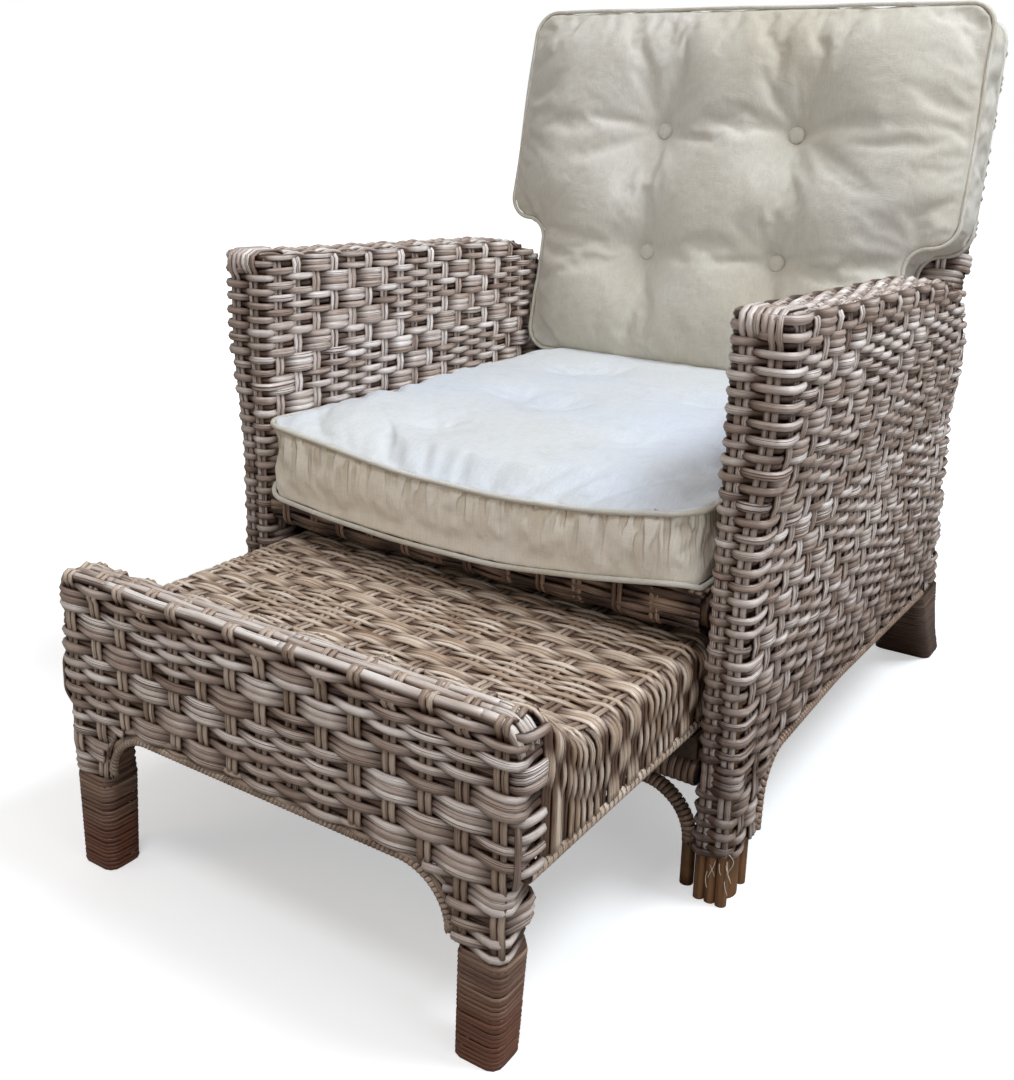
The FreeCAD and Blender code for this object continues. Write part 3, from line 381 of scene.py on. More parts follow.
class Skin:
    """Collects strands and turns them into one mesh piece. With side -1 it is the mirror image."""

    def __init__(self, name, sides=6, side=1):
        self.name = name
        self.sides = sides
        self.mirror = np.array([side, 1.0, 1.0])
        self.strands = []

    def add(self, points, outward, half_width, half_depth, lift=0.0, tone=None, closed=False):
        """One strand along points. Its flat side lies across the outward direction at each point."""
        if len(points) < 3:
            return
        points = points * self.mirror
        ahead = unit(loop_ahead(points) if closed else np.gradient(points, axis=0))
        across = unit(np.cross(ahead, outward * self.mirror))
        up = np.cross(across, ahead)
        angles = np.linspace(0, 2 * math.pi, self.sides, endpoint=False) - math.pi / 2
        wide, deep = (np.broadcast_to(half, len(points))[:, None, None]
                      for half in (half_width, half_depth))
        ring = (points[:, None] + across[:, None] * wide * np.cos(angles)[None, :, None]
                + up[:, None] * deep * np.sin(angles)[None, :, None])
        steps = np.linalg.norm(np.diff(points, axis=0), axis=1)
        along = np.concatenate([[0], np.cumsum(steps)]) + dice.uniform(0, 50)
        tone = dice.uniform(0, 1) if tone is None else tone
        self.strands.append((ring, along, np.broadcast_to(lift, len(points)), tone, closed))

    def build(self, finish, body, slot, *replaced):
        points, faces, corners = [], [], []
        numbers = {"along": [], "around": [], "tone": [], "lift": []}
        start = 0
        for ring, along, lift, tone, closed in self.strands:
            count = len(ring)
            points.append(ring.reshape(-1, 3))
            grid = start + np.arange(count * self.sides).reshape(count, self.sides)
            here, ahead = (grid, np.roll(grid, -1, axis=0)) if closed else (grid[:-1], grid[1:])
            turned = [np.roll(part, -1, axis=1) for part in (ahead, here)]
            quads = np.stack([here, ahead, *turned], axis=-1).reshape(-1, 4)
            faces.append(quads.ravel())
            corners.append(np.full(len(quads), 4))
            if not closed:
                faces.append(np.concatenate([grid[0], grid[-1][::-1]]))
                corners.append(np.full(2, self.sides))
            numbers["along"].append(np.repeat(along, self.sides))
            numbers["around"].append(np.tile(np.abs(np.arange(self.sides) - self.sides / 2), count))
            numbers["tone"].append(np.full(count * self.sides, tone))
            numbers["lift"].append(np.repeat(lift, self.sides))
            start += count * self.sides
        points = np.concatenate(points)
        faces = np.concatenate(faces).astype(np.int32)
        corners = np.concatenate(corners).astype(np.int32)
        mesh = bpy.data.meshes.new(self.name)
        mesh.vertices.add(len(points))
        mesh.vertices.foreach_set("co", points.ravel().astype(np.float32))
        mesh.loops.add(len(faces))
        mesh.loops.foreach_set("vertex_index", faces)
        mesh.polygons.add(len(corners))
        mesh.polygons.foreach_set("loop_start", (np.cumsum(corners) - corners).astype(np.int32))
        mesh.polygons.foreach_set("use_smooth", np.ones(len(corners), bool))
        for key, values in numbers.items():
            layer = mesh.attributes.new(key, "FLOAT", "POINT")
            layer.data.foreach_set("value", np.concatenate(values).astype(np.float32))
        mesh.update(calc_edges=True)
        mesh.validate()
        mesh.materials.append(finish)
        piece = bpy.data.objects.new(self.name, mesh)
        bpy.context.scene.collection.objects.link(piece)
        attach(piece, body)
        if replaced:
            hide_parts(*replaced)
        print(self.name, "strands", len(self.strands), "triangles", int((corners - 2).sum()))


# %% [markdown]
# The pattern of the chair is a plain weave, over one and under one, with a lattice of small blocks laid
# over it. In a block three rows in a line all pass over the same stake pair and under the pairs beside
# it, so the pairs show there as tall double ribs. The function says for a row and a stake whether the
# row lies on top.

# %% Weave pattern
block_rows = 3
block_repeat = 8
corner_step = 0.0015


def row_over(row, stake):
    for slope in (1, -1):
        place = (row // block_rows + slope * stake) % block_repeat
        if place == 0:
            return True
        if place in (1, block_repeat - 1):
            return False
    return (row + stake) % 2 == 0


def row_signs(row, stakes):
    """For one row at each stake: 1 where it lies on top and -1 where it passes under."""
    return [1.0 if row_over(row, stake) else -1.0 for stake in stakes]


def stake_signs(rows, stake):
    """For one stake at a number of rows: 1 where it lies on top."""
    return [-1.0 if row_over(row, stake) else 1.0 for row in range(rows)]


def by_turns(first, count):
    """The signs of a plain weave, over one and under one."""
    return [1.0 if (first + index) % 2 == 0 else -1.0 for index in range(count)]


def smooth_step(share):
    share = np.clip(share, 0, 1)
    return share * share * (3 - 2 * share)


def waves(places, heights, at):
    """Heights at the given places, joined by smooth waves."""
    places, heights = np.asarray(places, float), np.asarray(heights, float)
    index = np.clip(np.searchsorted(places, at) - 1, 0, len(places) - 2)
    share = np.clip((at - places[index]) / (places[index + 1] - places[index]), 0, 1)
    return heights[index] + (heights[index + 1] - heights[index]) * (1 - np.cos(math.pi * share)) / 2


def soft_wave(heights, at):
    """Waves of a stiff stake, which stands out fully only where several rows pass under it."""
    around = np.convolve(np.pad(heights, 1, mode="edge"), [0.3, 0.4, 0.3], mode="valid")
    return waves(np.arange(len(heights)), around, at)


def runs(inside, least=1):
    """The unbroken stretches of a strand in which inside is true."""
    cuts = np.flatnonzero(np.diff(inside.astype(int))) + 1
    for run in np.split(np.arange(len(inside)), cuts):
        if len(run) >= least and inside[run[0]]:
            yield run


class Path:
    """A line through corner points with round corners, that can be asked for a point and its direction."""

    def __init__(self, corners, radii, plane_normal=(0, 0, 0)):
        corners = [np.asarray(c, float) for c in corners]
        self.plane_normal = np.asarray(plane_normal, float)
        line = [corners[0]]
        for before, here, after, radius in zip(corners, corners[1:], corners[2:], radii):
            back, on = unit(before - here), unit(after - here)
            half = math.acos(np.clip(back @ on, -1, 1)) / 2
            if radius <= 0 or abs(half - math.pi / 2) < 1e-4:
                line.append(here)
                continue
            reach = radius / math.tan(half)
            centre = here + unit(back + on) * radius / math.sin(half)
            turn = math.pi - 2 * half
            count = max(3, int(radius * turn / corner_step))
            first, last = here + back * reach - centre, here + on * reach - centre
            for share in np.linspace(0, 1, count + 1):
                swing = first * math.sin((1 - share) * turn) + last * math.sin(share * turn)
                line.append(centre + swing / math.sin(turn))
        line = np.array(line + [corners[-1]])
        kept = np.concatenate([[True], np.linalg.norm(np.diff(line, axis=0), axis=1) > 1e-6])
        self.line = line[kept]
        self.places = np.concatenate([[0], np.cumsum(np.linalg.norm(np.diff(self.line, axis=0), axis=1))])
        self.length = self.places[-1]

    def at(self, place):
        return np.stack([np.interp(place, self.places, column) for column in self.line.T], axis=-1)

    def ahead(self, place, reach=0.002):
        return unit(self.at(np.minimum(place + reach, self.length)) - self.at(np.maximum(place - reach, 0)))

    def walk(self, step, closed=False, least=0):
        """Even places along the line, with the points and the directions there."""
        count = max(least, int(self.length / step))
        place = np.linspace(0, self.length, count, endpoint=not closed)
        return place, self.at(place), self.ahead(place)


print("blocks repeat every", block_repeat, "stakes and", block_repeat * block_rows, "rows")

# %% [markdown]
# ## The arms
# An arm is woven as one sleeve. Its rows run along the outer side, round the front of the leg and back
# along the inner side. Its stakes are pairs of thin canes that climb the outer side, bend over the arm
# and go down inside. The rows lie about level. The arm drops a little towards the back, so the rows
# drop with it.

# %% Measures of the arm weave
row_pitch = 0.00845
stake_pitch = 0.0348
stake_gap = 0.0079
pair_size = (0.0037, 0.0022)
backing_size = (0.0044, 0.0022)
strand_size = (0.0045, 0.0031)
strand_swell = (0.0004, 0.0003)
strand_spread = 0.07
stake_drift = 0.0008
tone_spread = 0.1
row_wave = 0.0030
stake_wave = 0.0020
skin_depth = 0.0050
rows_from = 0.060
sample_step = 0.0066
stake_step = 0.0062
front_pair_step = 0.0060
top_row_step = 0.0075
end_margin = 0.004
row_end_gap = 0.002
row_hook = 0.008
leg_row_reach = 0.045
first_stake = 0.0275
flare_steps = (0.385, 0.42, 0.46, 0.50)
arm_skin_top = 0.640
inner_weave_low_z = 0.31
# Painted shade at the arm's front and at its foot.
painted_shade_strength = 0.75
leg_row_turns = (0.009, 0.010, 0.010, 0.009)
arm_row_turns = (0.007, 0.011, 0.010)
arm_edge_radius = 0.008
arm_flare_radius = 0.03
front_pair_share = (0.30, 0.72)
front_loop_share = 0.51
front_loop_height = 3.3
front_loop_sink = -3.5
top_rows = 8
top_row_low_z = 0.44
top_row_tail = 0.36
top_row_dive = np.array([[0, 0.008, -0.018], [0, 0.005, -0.011], [0, 0.002, -0.004]])
arch_backing_rises = (0.0010, 0.0085, 0.0160)
arch_backing_inset = 0.0105


def strand_halves(height, size):
    """Half the width and depth of a row's cane, which swells where it lies on top."""
    return [(half + swell * height) * size for half, swell in zip(strand_size, strand_swell)]


def outer_x(z):
    """The outer side of the arm leans out between the seat and the arm top."""
    share = smooth_step((np.asarray(z, float) - flare_from_z) / (flare_to_z - flare_from_z))
    return low_outer_x + (high_outer_x - low_outer_x) * share


fall_share = arm_fall / (arm_corner_y - front_y)
arm_line = Path([(front_y, arm_skin_top), (arm_corner_y, arm_skin_top - arm_fall),
                 (arch_rear_y, arch_rear_z)], [arm_corner_radius])
arch_line = Path([(arch_foot_y, 0.0), (front_y + leg_depth, arch_front_z), (arch_peak_y, arch_peak_z),
                  (arch_rear_y, arch_rear_z)], [arch_radius, arch_peak_radius])


def arm_top_at(y):
    turning = np.argmax(arm_line.line[:, 0]) + 1
    return np.interp(y, *arm_line.line[:turning].T)


def arch_at(y):
    return np.interp(y, *arch_line.line.T)


def back_centre_y(z):
    below, above = (bend_z - z) * math.tan(lower_lean), (z - bend_z) * math.tan(recline)
    return bend_y + np.where(z < bend_z, below, above)


def row_height(level, y):
    return level * (1 - fall_share * (y - front_y) / arm_skin_top)


def arm_rear_at(level):
    """Where a row at this level meets the arm's rear outline."""
    above = arm_line.line[:, 1] - row_height(level, arm_line.line[:, 0])
    index = int(np.argmax(above < 0))
    share = above[index - 1] / (above[index - 1] - above[index])
    before, after = arm_line.line[index - 1:index + 1, 0]
    return float(before + share * (after - before))


def stake_places(y_end):
    """Stakes along the arm, from the front."""
    return np.arange(front_y + first_stake, y_end, stake_pitch)


def painted_shade_at(y, z):
    """How much painted shade darkens the arm at its front and at its foot near the floor."""
    at_front, at_foot = smooth_step((front_y + 0.014 - y) / 0.008), smooth_step((0.42 - z) / 0.30)
    return painted_shade_strength * (at_front + at_foot)


def right_of(ahead):
    """The direction a quarter turn to the right, in a plane."""
    return np.stack([ahead[:, 1], -ahead[:, 0]], axis=1)


def away_from(middle, outward, line):
    """Turn a line's outward directions so that they point away from a place in the middle."""
    return outward if np.mean(np.sum(outward * (line - middle), axis=1)) >= 0 else -outward


print("stakes along an arm", int((arm_corner_y - front_y - first_stake) / stake_pitch))

# %% Arm rows
def arm_row(skin, row, level):
    """One row: from the back along the outer side, round the leg, and back along the inner side."""
    out = float(outer_x(row_height(level, front_y))) - skin_depth
    inn = inner_x + skin_depth
    near = front_y + skin_depth
    rear = arch_rear_y - 0.012
    if level > arch_rear_z + 0.01:
        rear = arm_rear_at(level) - skin_depth - row_end_gap
    rear_inner = min(float(back_centre_y(level)) - slab_half - row_end_gap, rear)
    turn_in = out - low_outer_x + row_hook if out > low_outer_x else 0.0
    leg_only = level < arch_peak_z
    if leg_only:
        arch_y = float(np.interp(level, *arch_line.line.T[::-1])) - 0.0005
        far = min(arch_y, front_y + leg_depth + leg_row_reach)
        path = Path([(inn + 0.02, far), (out, far), (out, near), (inn, near), (inn, far),
                     (inn + 0.024, far)], leg_row_turns)
    else:
        corners = [(out, rear), (out, near), (inn, near), (inn, rear_inner)]
        if turn_in:
            corners = [(out - turn_in, rear)] + corners
        path = Path(corners, arm_row_turns[-len(corners) + 2:])
    place, plan, ahead = path.walk(sample_step, least=8)
    outward = away_from(((out + inn) / 2, front_y + 0.03), right_of(ahead), plan)
    if leg_only:
        marks = np.arange(path.length / 16, path.length, path.length / 8)
        signs = row_signs(row, range(len(marks), 0, -1))
    else:
        outer_stakes, inner_stakes = stake_places(rear), stake_places(rear_inner)
        corner = turn_in + rear - near
        marks = [corner + near - y for y in outer_stakes[::-1]]
        marks += [corner + share * (out - inn) for share in front_pair_share]
        marks += [corner + (out - inn) + (y - near) for y in inner_stakes]
        marks = np.array(marks) - end_margin
        signs = row_signs(row, range(len(outer_stakes) - 1, -1, -1)) + by_turns(row, len(front_pair_share))
        signs += row_signs(row, range(len(inner_stakes)))
    height = waves(marks, signs, place)
    z = row_height(level, plan[:, 1]) + dice.normal(0, 0.0005) + wander(place, 0.0005, 21)
    if not leg_only:
        plan[:, 0] += np.where(place < corner, outer_x(z) - skin_depth - out, 0)
    push = height * row_wave + dice.normal(0, 0.00025)
    points = xyz(*(plan + outward * push[:, None]).T, z)
    wide, deep = strand_halves(height, dice.normal(1, strand_spread))
    tone = dice.uniform(0, 1)
    # Painted shade: the rows are darker at the arm's front and near the floor.
    lift = height - painted_shade_at(plan[:, 1], z)
    inside = (z < arm_top_at(plan[:, 1]) - 0.0015) | leg_only
    if not leg_only and level < arch_peak_z + 0.020:
        inside &= (z > arch_at(plan[:, 1]) + 0.003) | (plan[:, 1] < front_y + leg_depth - 0.012)
    for run in runs(inside, 4):
        skin.add(points[run], xyz(*outward[run].T, 0), wide[run], deep[run], lift[run], tone)


# %% Arm stakes and arm top
def arm_profile(y):
    """Section of the arm skin at y: up the outer side, over the top, down the inner side, in x and z."""
    top = float(arm_top_at(y)) - skin_depth
    low = float(arch_at(y)) + end_margin if y > front_y + leg_depth - 0.006 else rows_from
    outside = [(float(outer_x(z)) - skin_depth, z) for z in (low, *flare_steps) if z < top - 0.03]
    end = float(outer_x(top)) - skin_depth
    inside_low = inner_weave_low_z if y > front_y + 0.06 else rows_from
    return Path(outside + [(end, top), (inner_x + skin_depth, top), (inner_x + skin_depth, inside_low)],
                [arm_flare_radius] * (len(outside) - 1) + [arm_edge_radius] * 2)


def arm_stake(skin, index, y):
    place, section, ahead = arm_profile(y).walk(stake_step)
    x, z = section.T
    outward = away_from(((low_outer_x + inner_x) / 2, 0.4), right_of(ahead), section)
    level = z / (1 - fall_share * (y - front_y) / arm_skin_top)
    signs = stake_signs(int((arm_skin_top - rows_from) / row_pitch) + 1, index)
    height = soft_wave(signs, (level - rows_from) / row_pitch)
    top_share = (x - inner_x) / (high_outer_x - inner_x) * top_rows
    on_top = z > arm_top_at(y) - skin_depth - end_margin
    height = np.where(on_top, waves(range(top_rows + 1), by_turns(index, top_rows + 1), top_share), height)
    phase, tone = dice.uniform(0, 6), dice.uniform(0, 1)
    normal = xyz(outward[:, 0], 0, outward[:, 1])
    for hand in (-1, 1):
        along_y = y + hand * stake_gap / 2 + stake_drift * np.sin(place * 9 + phase)
        size = dice.normal(1, 0.06)
        points = xyz(x, along_y, z) + normal * (height * stake_wave)[:, None]
        own_tone = np.clip(tone + dice.normal(0, tone_spread), 0, 1)
        wide, deep = (half * size for half in pair_size)
        # Painted shade at the arm's front and foot lowers the stake's lift.
        skin.add(points, normal, wide, deep, height - painted_shade_at(y, z), own_tone)


def arm_top_row(skin, row, x_share):
    """A row that runs back along the arm top and bends down with it at the back."""
    start, end = 0.009, arm_line.length - top_row_tail
    place = np.linspace(start, end, int((end - start) / top_row_step))
    y, z = arm_line.at(place).T
    beside_back = inner_x + (high_outer_x - inner_x) * x_share > low_outer_x + end_margin
    kept = (y < back_centre_y(z) - slab_half - 0.001) | (beside_back & (z > top_row_low_z))
    y, z, place = y[kept], z[kept], place[kept]
    outward = -right_of(arm_line.ahead(place))
    outward *= np.sign(outward[:, 1:2] + 1e-9)
    stakes = stake_places(y[-1] + stake_pitch)
    height = waves(stakes, by_turns(row + 1, len(stakes)), y)
    x = inner_x + skin_depth + (outer_x(z) - inner_x - 2 * skin_depth) * x_share
    x = x + wander(place, 0.0009, 13)
    normal = xyz(0, *outward.T)
    points = xyz(x, y, z) + normal * (height * row_wave - skin_depth)[:, None]
    points = np.concatenate([points[:1] + top_row_dive, points])
    normal = np.concatenate([np.tile([0, -1.0, 0.2], (3, 1)), normal])
    height = np.concatenate([np.full(3, height[0]), height])
    skin.add(points, normal, *strand_halves(height, dice.normal(1, strand_spread)), height)


def front_pairs(skin):
    """The stake pairs up the front of the leg, which loop over the top edge and end on the arm top."""
    last_y = front_y + 0.080
    front = front_y + skin_depth
    line = Path([(front, rows_from - 0.003), (front, arm_skin_top - skin_depth),
                 (last_y, float(arm_top_at(last_y)) - skin_depth)], [0.004])
    place = np.arange(0, line.length, front_pair_step)
    edge = arm_skin_top - skin_depth - rows_from
    y, z = line.at(place).T
    outward = xyz(0, *-right_of(line.ahead(place)).T)
    rows = int(edge / row_pitch) + 3
    for index, share in enumerate((*front_pair_share, front_loop_share)):
        height = soft_wave(by_turns(index + 1, rows), (z - rows_from) / row_pitch)
        loop_from = 0.016 + 0.007 * (index % 2)
        loop_to = edge + 0.040 + 0.014 * (index % 2)
        height += (front_loop_height - height) * smooth_step((place - edge + loop_from) / 0.009)
        height += (front_loop_sink - height) * smooth_step((place - loop_to) / 0.014)
        kept = place > (edge - loop_from - 0.001 if share == front_loop_share else 0)
        for hand in (-1, 1):
            across = hand * stake_gap / 2 + 0.0006 * np.sin(place * 17 + index)
            x = inner_x + (outer_x(z) - inner_x) * share + across
            points = xyz(x, y, z) + outward * (height * stake_wave)[:, None]
            skin.add(points[kept], outward[kept], *pair_size, np.minimum(height, 0.7)[kept])


for side, word in both_sides:
    skin = Skin("woven_arm_rows_" + word, side=side)
    for row, level in enumerate(np.arange(rows_from, arm_skin_top - end_margin, row_pitch)):
        arm_row(skin, row, level)
    stakes = Skin("woven_arm_stakes_" + word, side=side)
    for index, y in enumerate(stake_places(float(back_centre_y(0.3)) - 0.006)):
        arm_stake(stakes, index, y)
    for row in range(top_rows):
        arm_top_row(stakes, row, (row + 0.5) / top_rows)
    front_pairs(stakes)
    # Dark strands behind the weave along the arch, painted as shade through a low lift, so the gaps read
    # dark.
    y_line = np.arange(front_y + leg_depth + end_margin, arch_rear_y - end_margin, 0.012)
    for rise in arch_backing_rises:
        backing = xyz(low_outer_x - arch_backing_inset, y_line, arch_at(y_line) + rise)
        stakes.add(backing, (1, 0, 0), *backing_size, -0.6)
    for part in (skin, stakes):
        part.build(grey_cane, "chair", "cane_weave", "arm_weave_" + word)

# %% [markdown]
# ## The back
# The back is a woven sleeve too, drawn over the bent posts. Its rows are closed loops round the slab.
# Its stake pairs climb the rear, bend over the top rail and go down the front. The slab leans and is
# bent at arm height, so places on it are given along its middle line, out from it, and across the
# chair.

# %% Back
slab_bend_radius = 0.32
slab_line = Path([(arch_rear_y, arch_rear_z), (bend_y, bend_z),
                  (float(back_centre_y(slab_top_z)), slab_top_z)], [slab_bend_radius])
slab_corner = 0.040
back_pitch = 0.0085
back_stake_pitch = 0.0352
back_stakes_x = [number * back_stake_pitch for number in range(-9, 10)]
slab_from = 0.004
backing_inset = 0.0110
backing_corner = 0.008
back_backing_size = (0.0044, 0.0024)
back_row_corner = 0.011
back_edge_radius = 0.010
back_backing_rows = (0.0075, 0.0160, 0.0245)


def on_slab(up, ahead_share, out, x, from_line=True):
    """A place on the slab, or a direction: along its middle line, out from it, and across."""
    middle = slab_line.at(up) if from_line else np.zeros((len(up), 2))
    lean = slab_line.ahead(up)
    return xyz(x, middle[:, 0] + lean[:, 1] * out + lean[:, 0] * ahead_share,
               middle[:, 1] - lean[:, 0] * out + lean[:, 1] * ahead_share)


def corner_drop(past):
    """How far a round corner of the slab falls short of a square one."""
    return slab_corner - np.sqrt(np.maximum(slab_corner ** 2 - np.maximum(past, 0) ** 2, 0))


def slab_loop(reach, deep, radius):
    middle = (0, -deep)
    corners = [(reach, -deep), (reach, deep), (-reach, deep), (-reach, -deep)]
    return Path([middle, *corners, middle], [radius] * 4)


def lay_row(skin, base, outward, place, marks, signs, size=1.0, wave=row_wave, painted_shade=0.0, **look):
    """A strand along base that waves out and in at the marks, darkened by any painted shade given."""
    height = waves(marks, signs, place)
    points = base + outward * (height * wave)[:, None]
    skin.add(points, outward, *strand_halves(height, size), height - painted_shade, **look)


def back_row(skin, row, up):
    reach = low_outer_x - corner_drop(up - (slab_line.length - slab_corner)) - skin_depth
    deep = slab_half - skin_depth
    place, plan, ahead = slab_loop(reach, deep, back_row_corner).walk(sample_step, closed=True)
    ups = up + wander(place, 0.0005, 19) + dice.normal(0, 0.0004)
    base = on_slab(ups, 0, plan[:, 1], plan[:, 0])
    outward = on_slab(ups, 0, -ahead[:, 0], ahead[:, 1], from_line=False)
    kept = [x for x in back_stakes_x if abs(x) < reach - 0.006]
    front = [x for x in kept if x >= 0]
    rest = [x for x in kept if x < 0]
    marks = front + [reach + deep] + [2 * reach + 2 * deep - x for x in kept[::-1]]
    marks += [3 * reach + 3 * deep] + [4 * reach + 4 * deep + x for x in rest]
    numbers = [round(x / back_stake_pitch) + 9 for x in front + kept[::-1] + rest]
    numbers.insert(len(front), 19)
    numbers.insert(len(front) + len(kept) + 1, -1)
    size = dice.normal(1, strand_spread)
    lay_row(skin, base, outward, place, marks, row_signs(row, numbers), size, closed=True)


def back_stake(skin, index, x):
    deep = slab_half - skin_depth
    top = slab_line.length - corner_drop(abs(x) - (low_outer_x - slab_corner)) - skin_depth
    path = Path([(slab_from, deep), (top, deep), (top, -deep), (slab_from, -deep)],
                [back_edge_radius] * 2)
    place, section, ahead = path.walk(sample_step)
    side = -right_of(ahead)
    rows = int(slab_line.length / back_pitch) + 2
    height = soft_wave(stake_signs(rows, index), (section[:, 0] - slab_from) / back_pitch)
    push = height * stake_wave
    tone = dice.uniform(0, 1)
    normal = on_slab(section[:, 0], side[:, 0], side[:, 1], 0, from_line=False)
    for hand in (-1, 1):
        across = x + hand * stake_gap / 2 + stake_drift * np.sin(place * 9 + index)
        points = on_slab(section[:, 0], side[:, 0] * push, section[:, 1] + side[:, 1] * push, across)
        skin.add(points, normal, *pair_size, height, np.clip(tone + dice.normal(0, tone_spread), 0, 1))


lower_rows, upper_rows = Skin("woven_back_lower_rows"), Skin("woven_back_upper_rows")
for row, up in enumerate(np.arange(slab_from, slab_line.length - end_margin, back_pitch)):
    back_row(upper_rows if up > slab_line.length / 2 else lower_rows, row, up)
# Dark rows inside the sleeve, painted as shade through a low lift, so the gaps read dark.
loop = slab_loop(low_outer_x - backing_inset, slab_half - backing_inset, backing_corner)
place = np.arange(0, loop.length, 0.014)
plan, ahead = loop.at(place), loop.ahead(place)
for up in back_backing_rows:
    ups = np.full(len(place), up)
    outward = on_slab(ups, 0, -ahead[:, 0], ahead[:, 1], from_line=False)
    lower_rows.add(on_slab(ups, 0, plan[:, 1], plan[:, 0]), outward, *back_backing_size, -0.6, closed=True)
back_stakes = Skin("woven_back_stakes")
for part in (lower_rows, upper_rows):
    part.build(grey_cane, "chair", "cane_weave", "back_weave")
for index, x in enumerate(back_stakes_x):
    back_stake(back_stakes, index, x)
back_stakes.build(grey_cane, "chair", "cane_weave", "back_weave")

# %% [markdown]
# ## Seat deck and apron
# The deck under the seat cushion is a coarse flat weave. The apron in front of it is woven of bundles:
# three canes run together along the chair, and loops of stake pairs cross them here and there.

# %% Seat deck
deck_pitch = 0.0105
deck_stake_pitch = 0.044
deck_wave = 0.0012
deck_row_wave = 0.0014
up_z = (0, 0, 1.0)

skin = Skin("woven_seat_deck")
level = deck_high.z - 0.0042
ys = np.arange(deck_low.y + 0.006, deck_high.y - 0.004, deck_pitch)
xs = np.arange(deck_low.x + 0.014, deck_high.x - 0.006, deck_stake_pitch)
x_line = np.arange(deck_low.x + 0.002, deck_high.x - 0.001, 0.011)
y_line = np.arange(deck_low.y + 0.002, deck_high.y - 0.002, deck_pitch / 1.5)
for row, y in enumerate(ys):
    lay_row(skin, xyz(x_line, y, level), up_z, x_line, xs, by_turns(row, len(xs)), 1.05, deck_row_wave)
for index, x in enumerate(xs):
    height = waves(ys, by_turns(index + 1, len(ys)), y_line)
    for hand in (-1, 1):
        points = xyz(x + hand * stake_gap / 2, y_line, level + height * deck_wave)
        skin.add(points, up_z, *pair_size, height)
skin.build(tan_cane, "chair", "cane_weave", "seat_deck_weave")

# %% Apron
apron_bundle = 3
apron_depth = 0.0035
apron_turn = 0.012
apron_row_pitch = 0.0078
apron_crossings = 14
apron_loop_pitch = 0.047
apron_loop_gap = 0.0068
apron_loop_from = 0.024
apron_loop_size = (0.0031, 0.0022)
apron_stagger = 0.017
apron_wave = 0.0012
# Painted shade: the whole apron is darkened.
apron_painted_shade = 0.45

skin = Skin("woven_apron")
out, rear = apron_low.y + apron_depth, apron_high.y - apron_depth
low, high = apron_low.z + apron_depth, apron_high.z - 0.001
section = Path([(out, high), (out, low), (rear, low), (rear, high)], [apron_turn] * 2)
x_line = np.arange(apron_low.x + 0.001, apron_high.x - 0.0005, 0.008)
strands = int(section.length / apron_row_pitch)
for strand in range(strands):
    place = (strand + 0.5) / strands * section.length
    y, z = section.at(place)
    ahead = section.ahead(place)
    bundle = strand // apron_bundle
    marks = np.linspace(apron_low.x, apron_high.x, apron_crossings) + apron_stagger * (bundle % 2)
    drift = 0.0014 * np.sin(x_line * 23 + strand * 1.7) + 0.001 * np.sin(x_line * 61 + strand)
    base = xyz(x_line, y + drift * ahead[0], z + drift * ahead[1])
    turned_in = ahead[1] > 0 and place < 0.04
    outward = xyz(0, ahead[1], -ahead[0]) * (-1 if turned_in else 1)
    lay_row(skin, base, outward, x_line, marks, by_turns(bundle, apron_crossings), dice.uniform(0.88, 1.05),
            apron_wave, apron_painted_shade)
for loop in range(int((apron_high.x - apron_low.x) / apron_loop_pitch)):
    x = apron_low.x + apron_loop_from + loop * apron_loop_pitch + dice.normal(0, 0.004)
    place = np.linspace(*((0, 0.052) if loop % 2 else (section.length * 0.02, 0.075)), 16)
    y, z = section.at(place).T
    outward = xyz(0, *right_of(section.ahead(place)).T)
    outward *= np.where((outward[:, 1:2] > 0) & (place[:, None] < 0.035), -1, 1)
    for hand in (-1, 1):
        points = xyz(x + hand * apron_loop_gap / 2, y, z) + outward * 0.0012
        skin.add(points, outward, *apron_loop_size, 0.6)
skin.build(dark_cane, "chair", "cane_weave", "apron_weave")

# %% [markdown]
# ## Bound poles and edges
# Where a woven edge ends, a pole or a bundle lies along it and is bound with split cane, wound round
# and round like thread on a spool. The helper winds one cane along a route with a plain core inside, so
# every turn is a real one.

# %% Winding helpers
wrap_step = 0.0068
wrap_spread = 0.05


def both_hands(corners):
    """The corners of one side after their mirror images, as one line across the chair."""
    return [(-x, *rest) for x, *rest in corners[::-1]] + corners


def wind(skin, route, radius, cane):
    """A cane wound round a core along a route that lies in one plane."""
    half_width, half_depth, pitch, points_per_turn = cane
    place = np.arange(0, route.length, pitch / points_per_turn)
    turn = place / pitch * 2 * math.pi + 0.06 * np.sin(place * 160) + dice.uniform(0, 6)
    first = np.cross(route.ahead(place), route.plane_normal)
    out = first * np.cos(turn)[:, None] + route.plane_normal * np.sin(turn)[:, None]
    points = route.at(place) + out * (radius - half_depth)
    lift = 0.45 + wander(place, 0.105, 37)
    for chunk in np.array_split(np.arange(len(place)), max(1, int(route.length / 0.24))):
        chunk = np.arange(chunk[0], min(chunk[-1] + 2, len(place)))
        skin.add(points[chunk], out[chunk], half_width, half_depth, lift[chunk])
    # The core is painted as deep shade through the lowest lift; it shows only between the turns.
    core = np.linspace(0, route.length, max(6, int(route.length / 0.01)))
    core_radius = radius - half_depth * 1.1
    across = np.cross(route.ahead(core), route.plane_normal)
    skin.add(route.at(core), across, core_radius, core_radius, -1.0)


def bind(name, corners, radii, plane_normal, radius, cane, finish, body, replaced):
    """A whole piece bound with one cane along the corners of its route."""
    skin = Skin(name)
    wind(skin, Path(corners, radii, plane_normal), radius, cane)
    skin.build(finish, body, "cane_binding", replaced)


